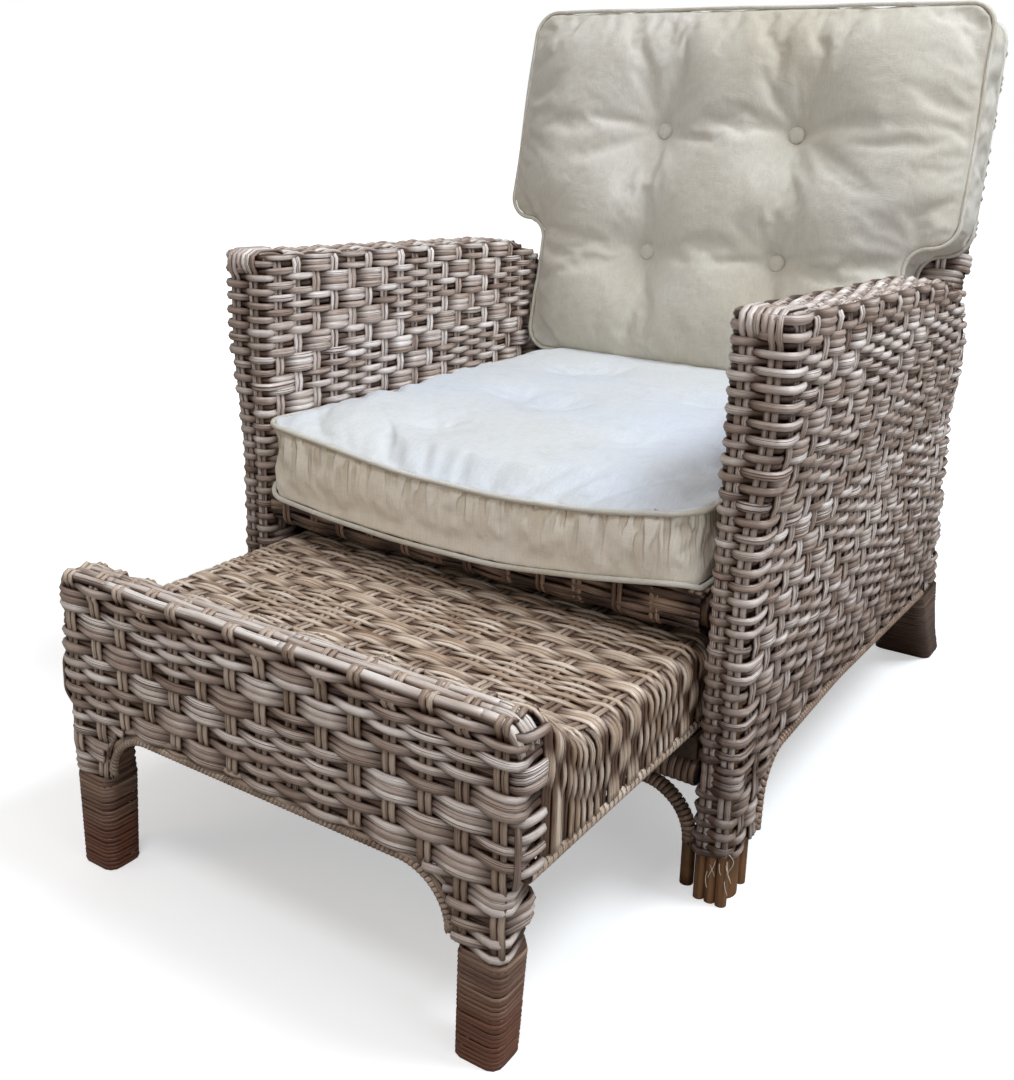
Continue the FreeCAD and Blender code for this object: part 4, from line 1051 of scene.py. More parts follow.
def wrap_level(skin, z, low_x, high_x, low_y, high_y, radius, half_width, half_depth, tilt):
    """One closed turn of cane round a leg with a rounded square section."""
    start = (low_x, (low_y + high_y) / 2)
    corners = [(low_x, high_y), (high_x, high_y), (high_x, low_y), (low_x, low_y)]
    path = Path([start, *corners, start], [radius] * 4)
    place, plan, ahead = path.walk(wrap_step, closed=True)
    outward = xyz(*-right_of(ahead).T, 0)
    points = xyz(*plan.T, z + wander(place, tilt, 2 * math.pi / path.length)) - outward * half_depth
    half_width = half_width * dice.normal(1, wrap_spread)
    skin.add(points, outward, half_width, half_depth, 0.3 + wander(place, 0.25, 60), closed=True)


# %% [markdown]
# A binding cane is given by half its width, half its depth, the pitch of its turns and the points in
# one turn.

# %% Bound edge of the side arches
side_arch_cane = (0.0036, 0.0013, 0.0072, 11)
front_arch_cane = (0.0030, 0.0013, 0.0058, 11)
stretcher_cane = (0.0040, 0.0013, 0.0079, 16)
side_pole_cane = (0.0042, 0.0010, 0.0084, 11)
rest_arch_cane = (0.0028, 0.0013, 0.0052, 11)
edge_radius = 0.005
edge_gap = 0.0003
edge_proud = 0.0004
edge_end = 0.001
edge_rear_rise = 0.83

for side, word in both_sides:
    low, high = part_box("arm_edging_" + word)
    x = side * (low_outer_x - edge_radius)
    drop = edge_radius + edge_gap
    corners = [(x, arch_foot_y + drop, low.z + edge_end),
               (x, front_y + leg_depth + drop, arch_front_z - drop),
               (x, arch_peak_y, arch_peak_z - drop),
               (x, high.y + 0.014, low.z + (high.z - low.z) * edge_rear_rise - edge_end)]
    bind("bound_side_arch_" + word, corners, [arch_radius - drop, arch_peak_radius], (1, 0, 0),
         edge_radius + edge_proud, side_arch_cane, dark_cane, "chair", "arm_edging_" + word)

# %% [markdown]
# The turns of cane round a rear foot stand a little proud of the frame's solid, which stays under them
# as a dark ground. The foot's outline bends in the same three straight stretches as the solid.

# %% Rear feet
boot_waist_z = 0.062
boot_top_z = 0.1297
boot_pitch = 0.0052
boot_proud = 0.0013
boot_corner = 0.012
boot_cane_size = (0.0029, 0.0012)
boot_cane_tilt = 0.0004
boot_inner = (0.035, 0.010, 0.0)
boot_front = (0.782, 0.738, 0.694)
boot_rear = (0.846, 0.806, 0.7844)


def boot_value(z, floor, waist, top):
    """The foot's size at a height: a parabola through three sizes, followed in three straight stretches."""
    stops = np.linspace(0, boot_top_z, 4)
    past_waist, past_top = stops - boot_waist_z, stops - boot_top_z
    values = (floor * past_waist * past_top / (boot_waist_z * boot_top_z)
              + waist * stops * past_top / (boot_waist_z * (boot_waist_z - boot_top_z))
              + top * stops * past_waist / (boot_top_z * (boot_top_z - boot_waist_z)))
    return float(np.interp(z, stops, values))


for side, word in both_sides:
    skin = Skin("wrapped_rear_foot_" + word)
    for z in np.arange(boot_pitch / 2, boot_top_z, boot_pitch):
        inner = inner_x - boot_value(z, *boot_inner) - boot_proud
        front = front_y + boot_value(z, *boot_front) - boot_proud
        rear = front_y + boot_value(z, *boot_rear) + boot_proud
        xs = sorted((side * inner, side * (low_outer_x + boot_proud)))
        wrap_level(skin, z, *xs, front, rear, boot_corner + boot_proud, *boot_cane_size, boot_cane_tilt)
    skin.build(shaded_boot_cane, "chair", "cane_binding")

# %% Front arch and stretcher
arch_box_low, arch_box_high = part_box("front_arch_pole")
arch_pole_radius = 0.0085
arch_pole_corner = 0.060
bare_foot = 0.058
bare_inset = 0.0008
fibres_per_foot = 7
fibre_lengths = (0.025, 0.060)
fibre_size = (0.00055, 0.00045)
toward_front = (0, -1.0, 0)

x = arch_box_high.x - arch_pole_radius
y = (arch_box_low.y + arch_box_high.y) / 2
z = arch_box_high.z - arch_pole_radius
skin = Skin("bound_front_arch")
route = Path(both_hands([(x, y, z), (x, y, bare_foot)]), [arch_pole_corner] * 2, (0, 1, 0))
wind(skin, route, arch_pole_radius, front_arch_cane)
bare_ends = Skin("bare_front_arch_ends", sides=12)
bare_radius = arch_pole_radius - bare_inset
for foot_x in (-x, x):
    points = xyz(foot_x, y, np.linspace(0.0, bare_foot + 0.01, 6))
    bare_ends.add(points, toward_front, bare_radius, bare_radius)
bare_ends.build(upright_pole, "chair", "rattan_pole", "front_arch_pole")
skin.build(dark_cane, "chair", "cane_binding", "front_arch_pole")

skin = Skin("loose_fibres", sides=4)
foot_low, foot_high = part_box("front_foot_poles_right")
share = np.linspace(0, 1, 26)
for side in (1, -1):
    for fibre in range(fibres_per_foot):
        length = dice.uniform(*fibre_lengths)
        x = (foot_low.x + foot_high.x) / 2 + dice.uniform(-0.004, 0.021)
        x = x + 0.004 * np.sin(share * dice.uniform(3, 8) + fibre)
        y = arch_box_low.y - 0.0135 + 0.003 * share + 0.003 * np.sin(share * dice.uniform(4, 9))
        points = xyz(side * x, y, rows_from + 0.006 - length * share ** 1.2)
        skin.add(points, toward_front, *fibre_size, 0.8, 1.0)
skin.build(golden_cane, "chair", "cane_weave")

low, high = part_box("front_stretcher")
y, z = (low.y + high.y) / 2, (low.z + high.z) / 2
bind("bound_front_stretcher", [(low.x, y, z), (high.x, y, z)], [], (0, 1, 0),
     (high.z - low.z) / 2, stretcher_cane, dark_cane, "chair", "front_stretcher")

# %% [markdown]
# ## The footrest
# The footrest is one continuous weave as well. Stake pairs climb its front, wrap over a thick lip,
# sweep down to the seat level and run back along the top. The rows cross it from side to side and bend
# down over both sides to a bound pole that slides on the runners. Plain canes lie behind the rows, so
# that no light falls through, and they are painted dark as shade.

# %% Footrest rows and stakes
rest_reach = rest_high.x
rest_flat_z = 0.282
rest_line_turns = (0.012, 0.026, 0.088, 0.014)
rest_lip_z = rest_high.z + 0.003
rest_line_low_z = panel_low.z + 0.002
rest_line = Path([(panel_low.y, rest_line_low_z), (panel_low.y, rest_lip_z), (front_y - 0.285, rest_high.z),
                  (front_y - 0.218, rest_flat_z), (rest_high.y, rest_flat_z), (rest_high.y, rest_low.z)],
                 rest_line_turns)
rest_stake_pitch = 0.0388
rest_stakes_x = (np.arange(15) - 7) * rest_stake_pitch
rest_row_pitch = 0.0064
panel_pitch = 0.0078
panel_depth = 0.0040
rest_depth = 0.0042
rest_wave = 0.0016
rest_edge = 0.020
rest_arch_half = 0.226
rest_arch_top = 0.180
rest_arch_radius = 0.060
rest_side_marks = (0.013, 0.040, 0.067)
panel_corner = 0.011
panel_leg_reach = 0.2803
panel_tuck = 0.034
panel_leg_tuck = 0.046
panel_leg_hook = 0.040
panel_end_mark = 0.040
panel_backing_size = (0.0042, 0.0024)
rest_backing_size = (0.0045, 0.0022)
rest_backing_depth = 0.0118
rest_stake_step = 0.0058
rest_row_spread = 0.05
lip_place = rest_lip_z - rest_line_low_z
lip_length = 0.030
panel_rows = 40
rest_rows = 140
lip_marks = lip_place + np.array([-0.0230, -0.0026, 0.0138, 0.0240, 0.0340, 0.0430])
lip_loops = np.array([-1.4, 2.7, -1.4, 2.7, -1.4, 2.7])


def rest_arch_at(x):
    """Height of the front panel's lower edge."""
    past = np.maximum(np.abs(x) - (rest_arch_half - rest_arch_radius), 0)
    curve = rest_arch_top - rest_arch_radius + np.sqrt(np.maximum(rest_arch_radius ** 2 - past ** 2, 0))
    return np.where(np.abs(x) < rest_arch_half, curve, panel_low.z)


def rest_row(skin, row, place_on_line):
    """A row across the footrest top that bends down over both sides."""
    y, z = rest_line.at(place_on_line)
    ahead = rest_line.ahead(place_on_line)
    reach = rest_reach - rest_depth
    drop = z - rest_depth - rest_low.z
    path = Path([(-reach, -drop), (-reach, 0), (reach, 0), (reach, -drop)], [rest_edge - rest_depth] * 2)
    place, plan, heading = path.walk(sample_step)
    share_top = np.clip(heading[:, 0], 0, 1)
    outward = unit(xyz(-heading[:, 1], -share_top * ahead[1], share_top * ahead[0]))
    y = y + wander(place, 0.0007, 17) + dice.normal(0, 0.0003) + ahead[1] * rest_depth * share_top
    base = xyz(plan[:, 0], y, z - rest_depth + plan[:, 1])
    beside = np.array(rest_side_marks) + reach
    marks = np.concatenate([-beside[::-1], rest_stakes_x, beside]) + path.length / 2
    signs = row_signs(row, range(-len(beside), len(rest_stakes_x) + len(beside)))
    # Painted shade: a row is darker where it bends down the sides than on the top.
    painted_shade = 0.5 - 0.6 * share_top
    lay_row(skin, base, outward, place, marks, signs, dice.normal(0.80, rest_row_spread), rest_wave, painted_shade)


def panel_row(skin, row, z):
    """A row across the front panel that wraps the front corner and tucks into the side."""
    y = panel_low.y + panel_depth
    reach = rest_reach - panel_depth
    on_leg = bool(z < rest_low.z + 0.002)
    tuck = panel_leg_tuck if on_leg else panel_tuck
    if on_leg:
        reach = panel_leg_reach - 0.0035 * (rest_low.z - z) / (rest_low.z - panel_low.z)
    side = [(reach, y), (reach, y + tuck)] + [(reach - panel_leg_hook, y + tuck)] * on_leg
    path = Path(both_hands(side), [panel_corner] * (2 + 2 * on_leg))
    place, plan, heading = path.walk(sample_step)
    levels = z + wander(place, 0.0006, 15)
    base, outward = xyz(*plan.T, levels), xyz(*right_of(heading).T, 0)
    ends = rest_stakes_x[[0, -1]] + np.array([-1, 1]) * panel_end_mark
    marks = np.array([ends[0], *rest_stakes_x, ends[1]]) + path.length / 2
    signs = row_signs(row, range(-1, len(rest_stakes_x) + 1))
    size, tone = dice.normal(0.97, 0.06), dice.uniform(0, 1)
    for run in runs(levels > rest_arch_at(plan[:, 0]) + 0.0022, 4):
        lay_row(skin, base[run], outward[run], place[run], marks, signs, size, tone=tone)


def rest_stake(skin, index, x):
    """A stake pair up the front, over the lip and back along the top."""
    start = max(0.0, float(rest_arch_at(x)) - panel_low.z + end_margin)
    place = np.arange(start, rest_line.length - 0.010, rest_stake_step)
    y, z = rest_line.at(place).T
    outward = xyz(0, *-right_of(rest_line.ahead(place)).T)
    height = soft_wave(stake_signs(panel_rows, index), (place - end_margin) / panel_pitch)
    past_lip = place - lip_place - lip_length
    on_top = soft_wave(stake_signs(rest_rows, index), past_lip / rest_row_pitch)
    height = np.where(past_lip > 0, on_top, height)
    on_lip = waves(lip_marks, np.roll(lip_loops, index % 2) * dice.normal(1.0, 0.06), place)
    height = np.where((place > lip_marks[0]) & (place < lip_marks[-1]), on_lip, height)
    tone = dice.uniform(0, 1)
    for hand in (-1, 1):
        across = x + hand * stake_gap / 2 + stake_drift * np.sin(place * 8 + index)
        points = xyz(across, y, z) + outward * (height * rest_wave - rest_depth)[:, None]
        skin.add(points, outward, pair_size[0], pair_size[1] * 1.1, np.minimum(height, 0.6),
                 np.clip(tone + dice.normal(0, 0.12), 0, 1))


# %% Footrest weave
skin = Skin("woven_footrest_front")
for row, z in enumerate(np.arange(panel_low.z + end_margin, rest_high.z - 0.012, panel_pitch)):
    panel_row(skin, row, z)
for corner in (-1, 1):
    z_line = np.linspace(rest_low.z - 0.012, rest_low.z + 0.052, 24)
    inward = 0.0048 + 0.0070 * smooth_step(np.abs(z_line - rest_low.z - 0.020) / 0.032 - 0.4)
    skin.add(xyz(corner * (rest_reach - inward), panel_low.y + inward, z_line),
             (corner * math.sqrt(0.5), -math.sqrt(0.5), 0), 0.0034, 0.0026, 0.0, 0.0)
# Backing rows behind the front panel, painted dark as shade.
x_line = np.linspace(0.012 - rest_reach, rest_reach - 0.012, 80)
for z in np.arange(panel_low.z + 0.008, rest_high.z - 0.02, panel_pitch):
    on_panel = (z > rest_arch_at(x_line) + 0.003) & ((z >= rest_low.z) | (np.abs(x_line) < 0.272))
    for run in runs(on_panel):
        skin.add(xyz(x_line[run], panel_low.y + 0.0100, z), toward_front, *panel_backing_size, -0.7)
# Backing strands inside both sides, painted dark as shade.
y_line = np.arange(panel_low.y + 0.016, rest_high.y - 0.012, 0.010)
for z in np.arange(rest_low.z + 0.007, rest_high.z - 0.02, 0.0082):
    under = y_line[np.interp(y_line, *rest_line.line.T) > z + 0.015]
    for corner in (-1, 1):
        skin.add(xyz(corner * (rest_reach - 0.0115), under, z), (corner, 0, 0), *backing_size, -0.7)
# Backing strands under the top, painted dark as shade.
for y in np.arange(front_y - 0.200, rest_high.y - 0.020, 0.0084):
    x_line = np.linspace(0.020 - rest_reach, rest_reach - 0.020, 8)
    level = np.interp(y, *rest_line.line.T) - rest_backing_depth
    skin.add(xyz(x_line, y, level), up_z, *rest_backing_size, -0.8)
skin.build(grey_cane, "footrest", "cane_weave", "footrest_front_weave")

skin = Skin("woven_footrest_top")
for row, place in enumerate(np.arange(lip_place + 0.036, rest_line.length - 0.012, rest_row_pitch)):
    rest_row(skin, row, place)
skin.build(golden_cane, "footrest", "cane_weave", "footrest_top_weave")
skin = Skin("footrest_stakes")
for index, x in enumerate(rest_stakes_x):
    rest_stake(skin, index, x)
skin.build(tan_cane, "footrest", "cane_weave", "footrest_top_weave", "footrest_front_weave")

# %% Footrest lip
lip_canes = ((0.0075, 0.0076, 0.0058), (0.0060, 0.0190, 0.0050), (0.0060, 0.0290, 0.0048))
lip_cuts = (28, 63, 96)
lip_points = 120
lip_corner = 0.026
lip_sink_in = 0.0080
lip_sink_back = 0.0100

skin = Skin("footrest_lip_canes")
low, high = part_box("footrest_border_roll")
for out, back, radius in lip_canes:
    x, y, z = rest_reach - out, low.y + back, high.z - out
    route = Path(both_hands([(x, y, z), (x, y, low.z + end_margin)]), [lip_corner] * 2, (0, 1, 0))
    place = np.linspace(0, route.length, lip_points)
    line = route.at(place)
    line[:, 2] += 0.0009 * np.sin(place * 40 + back * 900)
    sunk = smooth_step((z - 0.012 - line[:, 2]) / 0.030)
    line[:, 0] -= np.sign(line[:, 0]) * lip_sink_in * sunk
    line[:, 1] += lip_sink_back * sunk
    outward = np.cross(route.ahead(place), (0, 1, 0))
    thick = radius * (1 + 0.07 * np.sin(place * 55 + back * 300))
    # Painted shade: the ends that sink into the corners get a lower lift and go darker.
    for chunk in np.array_split(np.arange(lip_points), lip_cuts):
        chunk = np.arange(chunk[0], min(chunk[-1] + 2, lip_points))
        skin.add(line[chunk], outward[chunk], thick[chunk], thick[chunk], (0.5 - 1.3 * sunk)[chunk])
# The lip canes take the lighter cane, painted light.
skin.build(lit_lip_cane, "footrest", "cane_binding", "footrest_border_roll")

# %% Footrest side poles, arch edge and legs
for side, word in both_sides:
    low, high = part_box("footrest_side_pole_" + word)
    x, z = (low.x + high.x) / 2, (low.z + high.z) / 2
    bind("bound_side_pole_" + word, [(x, low.y + 0.020, z), (x, high.y, z)], [], (1, 0, 0),
         (high.z - low.z) / 2, side_pole_cane, golden_cane, "footrest", "footrest_side_pole_" + word)

low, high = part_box("footrest_arch_edging")
x, y, z = high.x - edge_radius, (low.y + high.y) / 2, high.z - edge_radius
side = [(x, y, z), (x, y + 0.001, low.z + 0.018), (x + 0.011, y + 0.011, low.z + 0.001)]
skin = Skin("bound_footrest_arch")
turns = [0.020, rest_arch_radius - edge_radius, rest_arch_radius - edge_radius, 0.020]
wind(skin, Path(both_hands(side), turns, (0, 1, 0)), edge_radius - 0.0006, rest_arch_cane)
beside = [(a + 0.0085, b, c + 0.0085) for a, b, c in side[:2]]
route = Path(both_hands(beside), [rest_arch_radius] * 2, (0, 1, 0))
place = np.linspace(0, route.length, 160)
outward = np.cross(route.ahead(place), (0, 1, 0))
# Painted shade: where the two canes twist back they are darker.
for shift in (-0.0016, 0.0050):
    twist = 0.0016 * np.sin(place * 130 + shift * 600)
    line = route.at(place) - outward * shift + xyz(0, 0.0012 + twist, 0)
    skin.add(line, toward_front, 0.0036, 0.0034, -0.1 - twist * 260)
skin.build(tan_cane, "footrest", "cane_binding", "footrest_arch_edging")

leg_pitch = 0.0048
leg_corner = 0.012
leg_taper_z = 0.11
leg_inner_x = 0.227
leg_outer_x = 0.277
leg_wrap_depth = 0.045
leg_cane_size = np.array([0.0027, 0.0011, 0.0008])
for side, word in both_sides:
    low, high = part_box("footrest_leg_wrap_" + word)
    skin = Skin("wrapped_footrest_leg_" + word)
    for z in np.arange(leg_pitch / 2, high.z, leg_pitch):
        share = min(z / leg_taper_z, 1.0)
        under = smooth_step((z - 0.104) / 0.012)
        outer = leg_outer_x + 0.0037 * share - 0.0062 * under
        xs = sorted((side * (leg_inner_x + 0.001 * share), side * outer))
        thick = 1.0 + 0.5 * smooth_step((z - 0.075) / 0.025)
        front = low.y + 0.0063 * under
        rear = low.y + leg_wrap_depth + 0.005 * share - 0.0035 * under
        wrap_level(skin, z, *xs, front, rear, leg_corner, *leg_cane_size * thick)
    skin.build(foot_cane, "footrest", "cane_binding", "footrest_leg_wrap_" + word)

# %% [markdown]
# ## Cushion cloth
# The covers are washed linen and cotton: an even fine weave with a few thick threads, a little dull
# sheen, and a colour that drifts between cool white and cream. Threads run along all three axes, so the
# weave needs no flat map. The boxing of the seat cushion is gathered into upright folds, deepest near
# its upper seam, and the valleys of the folds are painted darker as shade.

# %% Cloth finish
def cloth_finish(name, cool, warm, blotched, patch_scale=2.6, gathered=False):
    finish = start_finish(name)
    place = finish.object_place()
    patch = finish.noise(place, patch_scale, 3.0, 0.55)
    colour = finish.ramp(patch, (0.36, linear(warm)), (0.56, linear(cool)))
    # Random darker blotches over the cloth.
    blotch = finish.span(finish.noise(place, 21.0, 5.0, 0.65), 0.52, 0.80, to_high=0.34)
    colour = finish.blend(blotch, colour, linear(blotched))
    threads = [finish.noise(place, 1.0, 2.0, 0.6, stretch=stretch)
               for stretch in ((60.0, 1500.0, 1500.0), (1500.0, 60.0, 60.0))]
    weave = finish.maths("ADD", *threads)
    fleck = finish.span(weave, 0.75, 1.3, 0.86, 1.04)
    tint = finish.node("CombineColor", {"Red": fleck, "Green": fleck, "Blue": fleck})
    colour = finish.blend(1.0, colour, tint, "MULTIPLY")
    under = {}
    if gathered:
        upright_noise = finish.noise(place, 1.0, 1.5, 0.5, stretch=(88.0, 88.0, 7.0))
        valley = finish.span(upright_noise, 0.54, 0.40, smooth=True)
        near_seam = finish.span(finish.object_height(), 0.362, 0.404)
        folds = finish.maths("MULTIPLY", valley, near_seam)
        # Painted shade: the valleys of the gathers are darkened.
        colour = finish.blend(folds, colour, (0.80, 0.76, 0.70), "MULTIPLY")
        under["Normal"] = finish.bump(folds, 0.8, 0.004)
        under["Normal"].node.invert = True
    creases = finish.bump(finish.noise(place, 34.0, 4.0, 0.55, distortion=0.8), 0.32, 0.004, **under)
    finish.surface(Base_Color=colour, Roughness=0.88, Specular_IOR_Level=0.22, Sheen_Weight=0.25,
                   Sheen_Roughness=0.5, Normal=finish.bump(weave, 0.4, 0.0006, Normal=creases))
    return finish.owner


# The seat cover is given a bluish white, which is painted cool sky light on its top.
sky_tinted_seat_cloth = cloth_finish("seat_cover_cloth_painted_sky_light", (225, 232, 243), (227, 230, 230), (198, 194, 184))
# The boxing is given a brighter cream than the top: painted light on the front of the cushion.
boxing_cloth_lit_and_fold_shaded = cloth_finish("seat_boxing_cloth_painted_light", (250, 244, 232), (245, 236, 218), (216, 203, 180),
                            gathered=True)
# The back cover and its buttons are given darker colours than the seat: painted shade, as it stands back in
# the chair.
shaded_back_cloth = cloth_finish("back_cover_cloth_painted_shade", (217, 213, 203), (205, 198, 181), (174, 159, 134))
piping_cloth = cloth_finish("piping_cloth", (220, 217, 208), (206, 198, 180), (170, 154, 128),
                            patch_scale=9.0)

# %% [markdown]
# ## How a cushion is made
# A cushion starts as a plain box. Its upright edges are bevelled round in edit mode, and a voxel remesh
# gives it an even net. Then the net becomes cloth: the seams are pinned, the panels get more cloth than
# they need, and air pressure fills them for twenty frames. What comes out has the puffed panels and
# gathers of a real cover. Every point may move only so far, which keeps the cushion in its place
# between the arms.

# %% Cushion helpers
voxel = 0.0068
sim_frames = 20
bevel_segments = 7
seam_inset = 0.0025
seam_pins = 0.0062
cloth_noise = 0.0004
piping_radius = 0.0030


def enter(mode):
    bpy.ops.object.mode_set(mode=mode)


def only_active(piece):
    bpy.ops.object.select_all(action="DESELECT")
    piece.select_set(True)
    bpy.context.view_layer.objects.active = piece


def coordinates(piece):
    values = np.empty(len(piece.data.vertices) * 3, np.float32)
    piece.data.vertices.foreach_get("co", values)
    return values.reshape(-1, 3).astype(float)


def set_coordinates(piece, points):
    piece.data.vertices.foreach_set("co", points.astype(np.float32).ravel())
    piece.data.update()


def nearest(points, line):
    """Distance from each point to the nearest point of a line."""
    best = np.full(len(points), 1e9)
    for chunk in np.array_split(line, max(1, len(line) // 60)):
        best = np.minimum(best, np.linalg.norm(points[:, None] - chunk[None], axis=2).min(axis=1))
    return best


def far_from(points, place):
    """Distance in plan from a place."""
    return np.linalg.norm(points[:, :2] - np.array(place), axis=1)


def hollow(far, width):
    return np.exp(-(far / width) ** 2)


def apply_modifier(piece, kind, **values):
    only_active(piece)
    made = piece.modifiers.new(kind.lower(), kind)
    for key, value in values.items():
        setattr(made, key, value)
    bpy.ops.object.modifier_apply(modifier=made.name)


def rough_box(name, low, high):
    """A box primitive between two corners, with its place in its mesh."""
    bpy.ops.object.select_all(action="DESELECT")
    middle = [(a + b) / 2 for a, b in zip(low, high)]
    bpy.ops.mesh.primitive_cube_add(size=1, location=middle, scale=[b - a for a, b in zip(low, high)])
    piece = bpy.context.object
    piece.name = name
    bpy.ops.object.transform_apply(location=True, rotation=True, scale=True)
    return piece


def upright(first, second):
    return abs(first.x - second.x) < 1e-5 and abs(first.y - second.y) < 1e-5


def round_edges(piece, wanted, radius):
    """Bevel the edges for which wanted(first, second) is true, then give the piece an even net."""
    enter("EDIT")
    bpy.ops.mesh.select_mode(type="EDGE")
    bpy.ops.mesh.select_all(action="DESELECT")
    enter("OBJECT")
    for edge in piece.data.edges:
        edge.select = bool(wanted(*(piece.data.vertices[index].co for index in edge.vertices)))
    enter("EDIT")
    bpy.ops.mesh.bevel(offset=radius, segments=bevel_segments, affect="EDGES")
    enter("OBJECT")
    apply_modifier(piece, "REMESH", mode="VOXEL", voxel_size=voxel)


def rounded_loop(corners, radii, count):
    """A closed outline in plan, from the middle of its last side, evenly stepped."""
    start = (np.asarray(corners[0], float) + np.asarray(corners[-1], float)) / 2
    path = Path([start, *corners, start], radii)
    return path.at(np.linspace(0, path.length, count, endpoint=False))


def fill_with_air(piece, pinned, generous, cap, pressure, extra, extra_boxing):
    """Cloth that is pinned along its seams and blown up. Each point moves no further than the cap."""
    start = coordinates(piece)
    for name, members in (("seam", pinned), ("gathered", generous)):
        piece.vertex_groups.new(name=name).add([int(i) for i in np.flatnonzero(members)], 1.0, "REPLACE")
    cloth = piece.modifiers.new("cover", "CLOTH")
    wanted = {"vertex_group_mass": "seam", "quality": 6, "mass": 0.3, "tension_stiffness": 12,
              "compression_stiffness": 12, "shear_stiffness": 4, "bending_stiffness": 0.12,
              "air_damping": 3, "use_pressure": True, "uniform_pressure_force": pressure,
              "shrink_min": -extra, "shrink_max": -extra_boxing, "vertex_group_shrink": "gathered"}
    for key, value in wanted.items():
        setattr(cloth.settings, key, value)
    cloth.settings.effector_weights.gravity = 0
    cloth.collision_settings.use_self_collision = False
    for frame_number in range(1, sim_frames + 1):
        bpy.context.scene.frame_set(frame_number)
    shift = coordinates(piece.evaluated_get(bpy.context.evaluated_depsgraph_get())) - start
    length = np.linalg.norm(shift, axis=1, keepdims=True)
    shift *= np.minimum(1, cap / np.maximum(length, 1e-9))
    piece.modifiers.remove(cloth)
    bpy.context.scene.frame_set(1)
    set_coordinates(piece, start + shift)
    print(piece.name, "cloth points", len(start), "largest move", round(float(length.max()), 4))


def between_seams(points, low, high, margin):
    return (points[:, 2] > low + margin) & (points[:, 2] < high - margin)


def near_seams(points, seams):
    return np.minimum(*(nearest(points, seam) for seam in seams.values())) < seam_pins


def finish_cushion(piece, cloth_kind, name):
    apply_modifier(piece, "SUBSURF", levels=1, render_levels=1)
    bpy.ops.object.shade_smooth()
    piece.vertex_groups.clear()
    piece.data.materials.clear()
    piece.data.materials.append(cloth_kind)
    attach(piece, name)
    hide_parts(name)
    print(piece.name, "faces", len(piece.data.polygons))


def sew_piping(cushion, word, seam, set_out, stand=lambda line: line):
    """A cord in a strip of cloth along a closed seam, set out a little from it."""
    outward = np.cross(loop_ahead(seam), up_z)
    outward /= np.linalg.norm(outward, axis=1, keepdims=True)
    line = stand(seam + outward * set_out)
    outward = stand(seam + outward * (1 + set_out)) - line
    skin = Skin(f"{cushion}_piping_{word}", sides=10)
    skin.add(line, outward, piping_radius, piping_radius, 0.4, 0.5, closed=True)
    skin.build(piping_cloth, cushion, "piping_cloth", f"{cushion}_{word}_piping")


# %% [markdown]
# ## The seat cushion
# A boxed cushion, piped along its top and bottom seams. Years of use have let its front sink in the
# middle, over the apron, while the corners stand up beside the arms. Two short curves give the height
# of the front seams.

# %% Seat cushion
seat_half = 0.2912
seat_front = front_y - 0.0154
seat_rear = 0.4283
seat_low_z = 0.3496
seat_high_z = 0.4290
seat_corner = 0.032
seat_top_z = 0.395
seat_boxing_edge = 0.016
seat_top_sag = ((-0.30, -0.20, -0.08, 0.06, 0.18, 0.30), (0.011, 0.000, -0.015, -0.018, -0.010, 0.011))
seat_low_sag = ((-0.30, -0.19, -0.08, 0.06, 0.18, 0.30), (-0.006, -0.018, -0.024, -0.023, -0.008, 0.012))
seat_tufts = ((-0.127, 0.203, 0.008), (-0.087, 0.238, 0.007), (-0.033, 0.005, 0.009),
              (-0.105, 0.021, 0.010), (-0.105, -0.161, 0.009), (0.133, -0.090, 0.008),
              (0.120, 0.120, 0.006))
tuft_width = 0.034
tuft_slope_width = 0.075
seat_gathers = 26
gather_width = 0.0045
gather_depth = 0.0034
seat_outline_steps = 420


def smooth_curve(x, places, values):
    """A smooth line through a few points."""
    fine = np.linspace(places[0], places[-1], 121)
    window = np.hanning(25)
    line = np.pad(np.interp(fine, places, values), len(window) // 2, mode="edge")
    return np.interp(x, fine, np.convolve(line, window / window.sum(), mode="valid"))


def settle_seat(points):
    """Sink the front of the seat cushion as it has sagged."""
    x, y, z = points.T
    share = np.clip((z - seat_low_z) / (seat_high_z - seat_low_z), 0, 1)
    top = smooth_curve(x, *seat_top_sag) * smooth_step(1 - (y - seat_front) / 0.26)
    low = smooth_curve(x, *seat_low_sag) * np.clip(1 - (y - seat_front) / 0.022, 0, 1)
    return xyz(x, y, z + low + (top - low) * share)


seat_cushion = rough_box("seat_cushion_cover", (-seat_half, seat_front, seat_low_z),
                         (seat_half, seat_rear, seat_high_z))
round_edges(seat_cushion, upright, seat_corner)
seat_outline = rounded_loop([(-seat_half, seat_front), (seat_half, seat_front), (seat_half, seat_rear),
                             (-seat_half, seat_rear)], [seat_corner] * 4, seat_outline_steps)
seat_seams = {word: settle_seat(xyz(*seat_outline.T, level))
              for word, level in (("lower", seat_low_z + seam_inset), ("upper", seat_high_z - seam_inset))}
points = coordinates(seat_cushion)
points += dice.normal(0, cloth_noise, points.shape)
boxing = between_seams(points, seat_low_z, seat_high_z, 0.012)
points = settle_seat(points)
set_coordinates(seat_cushion, points)
pinned = near_seams(points, seat_seams) | (points[:, 2] < seat_low_z + 0.004)
fill_with_air(seat_cushion, pinned, boxing, cap=0.026, pressure=4.5, extra=0.05, extra_boxing=0.10)

# %% [markdown]
# After the cloth has settled, the gathers of the boxing and the tufts of the top are drawn in. The
# faces of the boxing then get their own finish: a brighter cream, as painted light.

